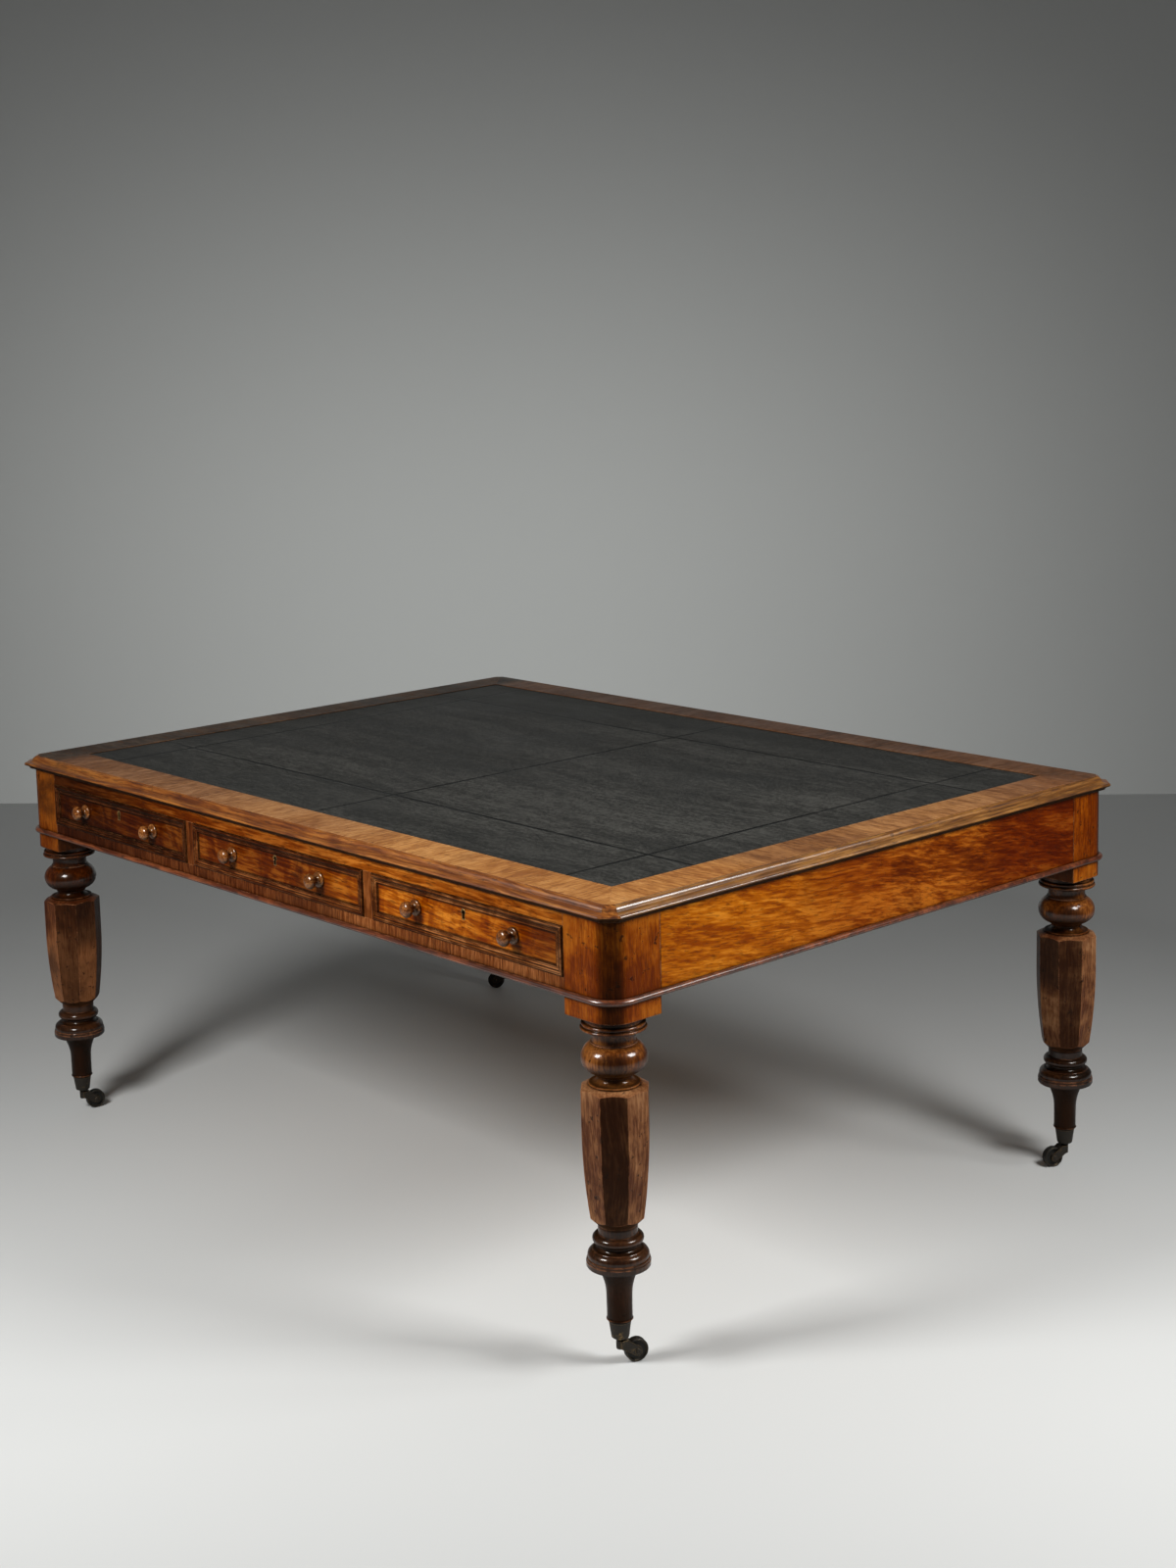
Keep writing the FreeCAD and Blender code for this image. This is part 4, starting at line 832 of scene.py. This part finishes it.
for part in frame["record"]["subparts"]:
    name = part["node"]
    finish = ownFinishes.get(name) or finishes.get(part["material_slot"])
    if finish:
        nodes[name].data.materials.clear()
        nodes[name].data.materials.append(finish)
print("timber and brass dressed")


room = {
    "floorShade": (206, 207, 205),
    "floorRoughness": 0.62,
    "floorHalf": 12,
    "wallShade": (170, 171, 169),
    "wallRoughness": 0.9,
    "wallGlow": (118, 120, 118),
    "wallFoot": Vector((-2.233, 2.144, 0)),
    "wallTurn": math.radians(43.7),
    "wallHalf": 12,
    "wallHeight": 5,
    "glowAside": 0.35,  # from the foot point to the glow's middle, along the wall
    "glowHeight": (0.7, 2.9),
    "glowWidth": (0.1, 3.0),
    "glowFade": 0.9,
    "cloudRate": 0.8,
    "cloudDetail": 4,
    "cloudDeeper": 0.9,
    "cloudShare": 0.25,
    "relief": 0.001,
    "airLight": (0.074, 0.075, 0.076, 1),  # what lights the desk
    "airSeen": (148, 150, 148),  # what the camera sees past the wall
}


def plainGround(name, shade, roughness, glow=None):
    finish = Finish(name)
    x, y, z = finish.where()
    rate = room["cloudRate"]
    cloud = finish.noise(finish.point(x * rate, y * rate, z * rate), room["cloudDetail"])
    deeper = tone(*[part * room["cloudDeeper"] for part in shade])
    colour = finish.mix((cloud - 0.5) * room["cloudShare"], tone(*shade), deeper)
    steady = {}
    if glow:  # the wall looks lighter than the lamps make it, and sheds no light on the desk
        rays = [finish.node("ShaderNodeLightPath", output=f"Is {kind} Ray")
                for kind in ("Camera", "Glossy", "Transmission")]
        seen = rays[0].maths("MAXIMUM", rays[1]).maths("MAXIMUM", rays[2])
        height = finish.rise(z, *room["glowHeight"])
        foot, turn = room["wallFoot"], room["wallTurn"]
        aside = (x - foot.x) * math.cos(turn) + (y - foot.y) * math.sin(turn)
        aside = finish.rise(abs(aside + room["glowAside"]), *room["glowWidth"])
        dimming = (1 - height) * (1 - aside * room["glowFade"])
        steady["Emission_Color"] = finish.mix(seen * dimming, (0, 0, 0, 1), tone(*glow))
        steady["Emission_Strength"] = 1.0
        # from behind the wall is clear, so that it doesn't hide the desk
        steady["Alpha"] = 1 - finish.node("ShaderNodeNewGeometry", output="Backfacing")
    return finish.close(colour, roughness, cloud, room["relief"], **steady)


def studioSheet(name, corners, finish):
    mesh = bpy.data.meshes.new(name)
    mesh.from_pydata(corners, [], [(0, 1, 2, 3)])
    mesh.materials.append(finish)
    piece = bpy.data.objects.new(name, mesh)
    bpy.context.scene.collection.objects.link(piece)


def buildRoom():
    wide = room["floorHalf"]
    square = [(-wide, -wide, 0), (wide, -wide, 0), (wide, wide, 0), (-wide, wide, 0)]
    floorFinish = plainGround("pale floor", room["floorShade"], room["floorRoughness"])
    studioSheet("studio_floor", square, floorFinish)
    turn, rise = room["wallTurn"], Vector((0, 0, room["wallHeight"]))
    way = Vector((math.cos(turn), math.sin(turn), 0)) * room["wallHalf"]
    left, right = room["wallFoot"] - way, room["wallFoot"] + way
    wallFinish = plainGround(
        "grey wall", room["wallShade"], room["wallRoughness"], room["wallGlow"]
    )
    studioSheet("studio_wall", [left, right, right + rise, left + rise], wallFinish)


def fillWithAir():
    world = bpy.data.worlds.new("studio air")
    world.use_nodes = True
    air = world.node_tree
    rays = air.nodes.new("ShaderNodeLightPath")
    shade = air.nodes.new("ShaderNodeMix")
    shade.data_type = "RGBA"
    shade.inputs[6].default_value = room["airLight"]
    shade.inputs[7].default_value = tone(*room["airSeen"])
    air.links.new(rays.outputs["Is Camera Ray"], shade.inputs[0])
    air.links.new(shade.outputs[2], air.nodes["Background"].inputs["Color"])
    bpy.context.scene.world = world


lamps = {
    "left softbox": {
        "place": (0.10, -2.15, 1.85), "aim": (0.0, 0.3, 0.2), "size": 0.65, "power": 47,
    },
    "right softbox": {
        "place": (2.25, 0.30, 1.85), "aim": (0.9, -0.5, 0.2), "size": 0.65, "power": 37,
    },
    "edge lamp": {  # its light runs along the near arris
        "place": (1.99, 0.99, 1.94), "aim": (0.89, -0.5, 0.755), "size": 0.35, "power": 6,
    },
}
lampSpread = math.radians(165)


def standLamp(name, look):
    lamp = bpy.data.lights.new(name, "AREA")
    lamp.shape = "RECTANGLE"
    lamp.size = look["size"]
    lamp.size_y = look["size"]
    lamp.energy = look["power"]
    lamp.spread = lampSpread
    stand = bpy.data.objects.new(name, lamp)
    stand.location = look["place"]
    beam = Vector(look["aim"]) - Vector(look["place"])
    stand.rotation_euler = beam.to_track_quat("-Z", "Y").to_euler()
    stand.visible_camera = False
    bpy.context.scene.collection.objects.link(stand)


buildRoom()
for name, look in lamps.items():
    standLamp(name, look)
fillWithAir()

view = {
    "place": Vector((3.3420, -2.9089, 1.6751)),
    "turn": math.radians(47.7166),
    "dip": math.radians(-8.6008),
    "roll": math.radians(-1.3482),
    "focus": 2351.0,  # in pixels of the photograph
    "photoHeight": 1600,
    "axisRow": 652.6,  # the row that the lens axis meets
    "sensor": 36,
    "farthest": 60,
}


def standCamera():
    turn, dip, roll = view["turn"], view["dip"], view["roll"]
    flat = math.cos(dip)
    ahead = Vector((-math.sin(turn) * flat, math.cos(turn) * flat, math.sin(dip)))
    level = Vector((math.cos(turn), math.sin(turn), 0))
    up = level.cross(ahead)
    right = level * math.cos(roll) + up * math.sin(roll)
    upright = up * math.cos(roll) - level * math.sin(roll)
    lens = bpy.data.cameras.new("photograph view")
    lens.sensor_width = view["sensor"]
    lens.lens = view["focus"] / view["photoHeight"] * view["sensor"]
    lens.shift_y = (view["axisRow"] - view["photoHeight"] / 2) / view["photoHeight"]
    lens.clip_end = view["farthest"]
    camera = bpy.data.objects.new("photograph view", lens)
    camera.matrix_world = Matrix((
        (right.x, upright.x, -ahead.x, view["place"].x),
        (right.y, upright.y, -ahead.y, view["place"].y),
        (right.z, upright.z, -ahead.z, view["place"].z),
        (0, 0, 0, 1),
    ))
    bpy.context.scene.collection.objects.link(camera)
    bpy.context.scene.camera = camera


standCamera()
bpy.context.scene.view_settings.view_transform = "Standard"
print("studio set")
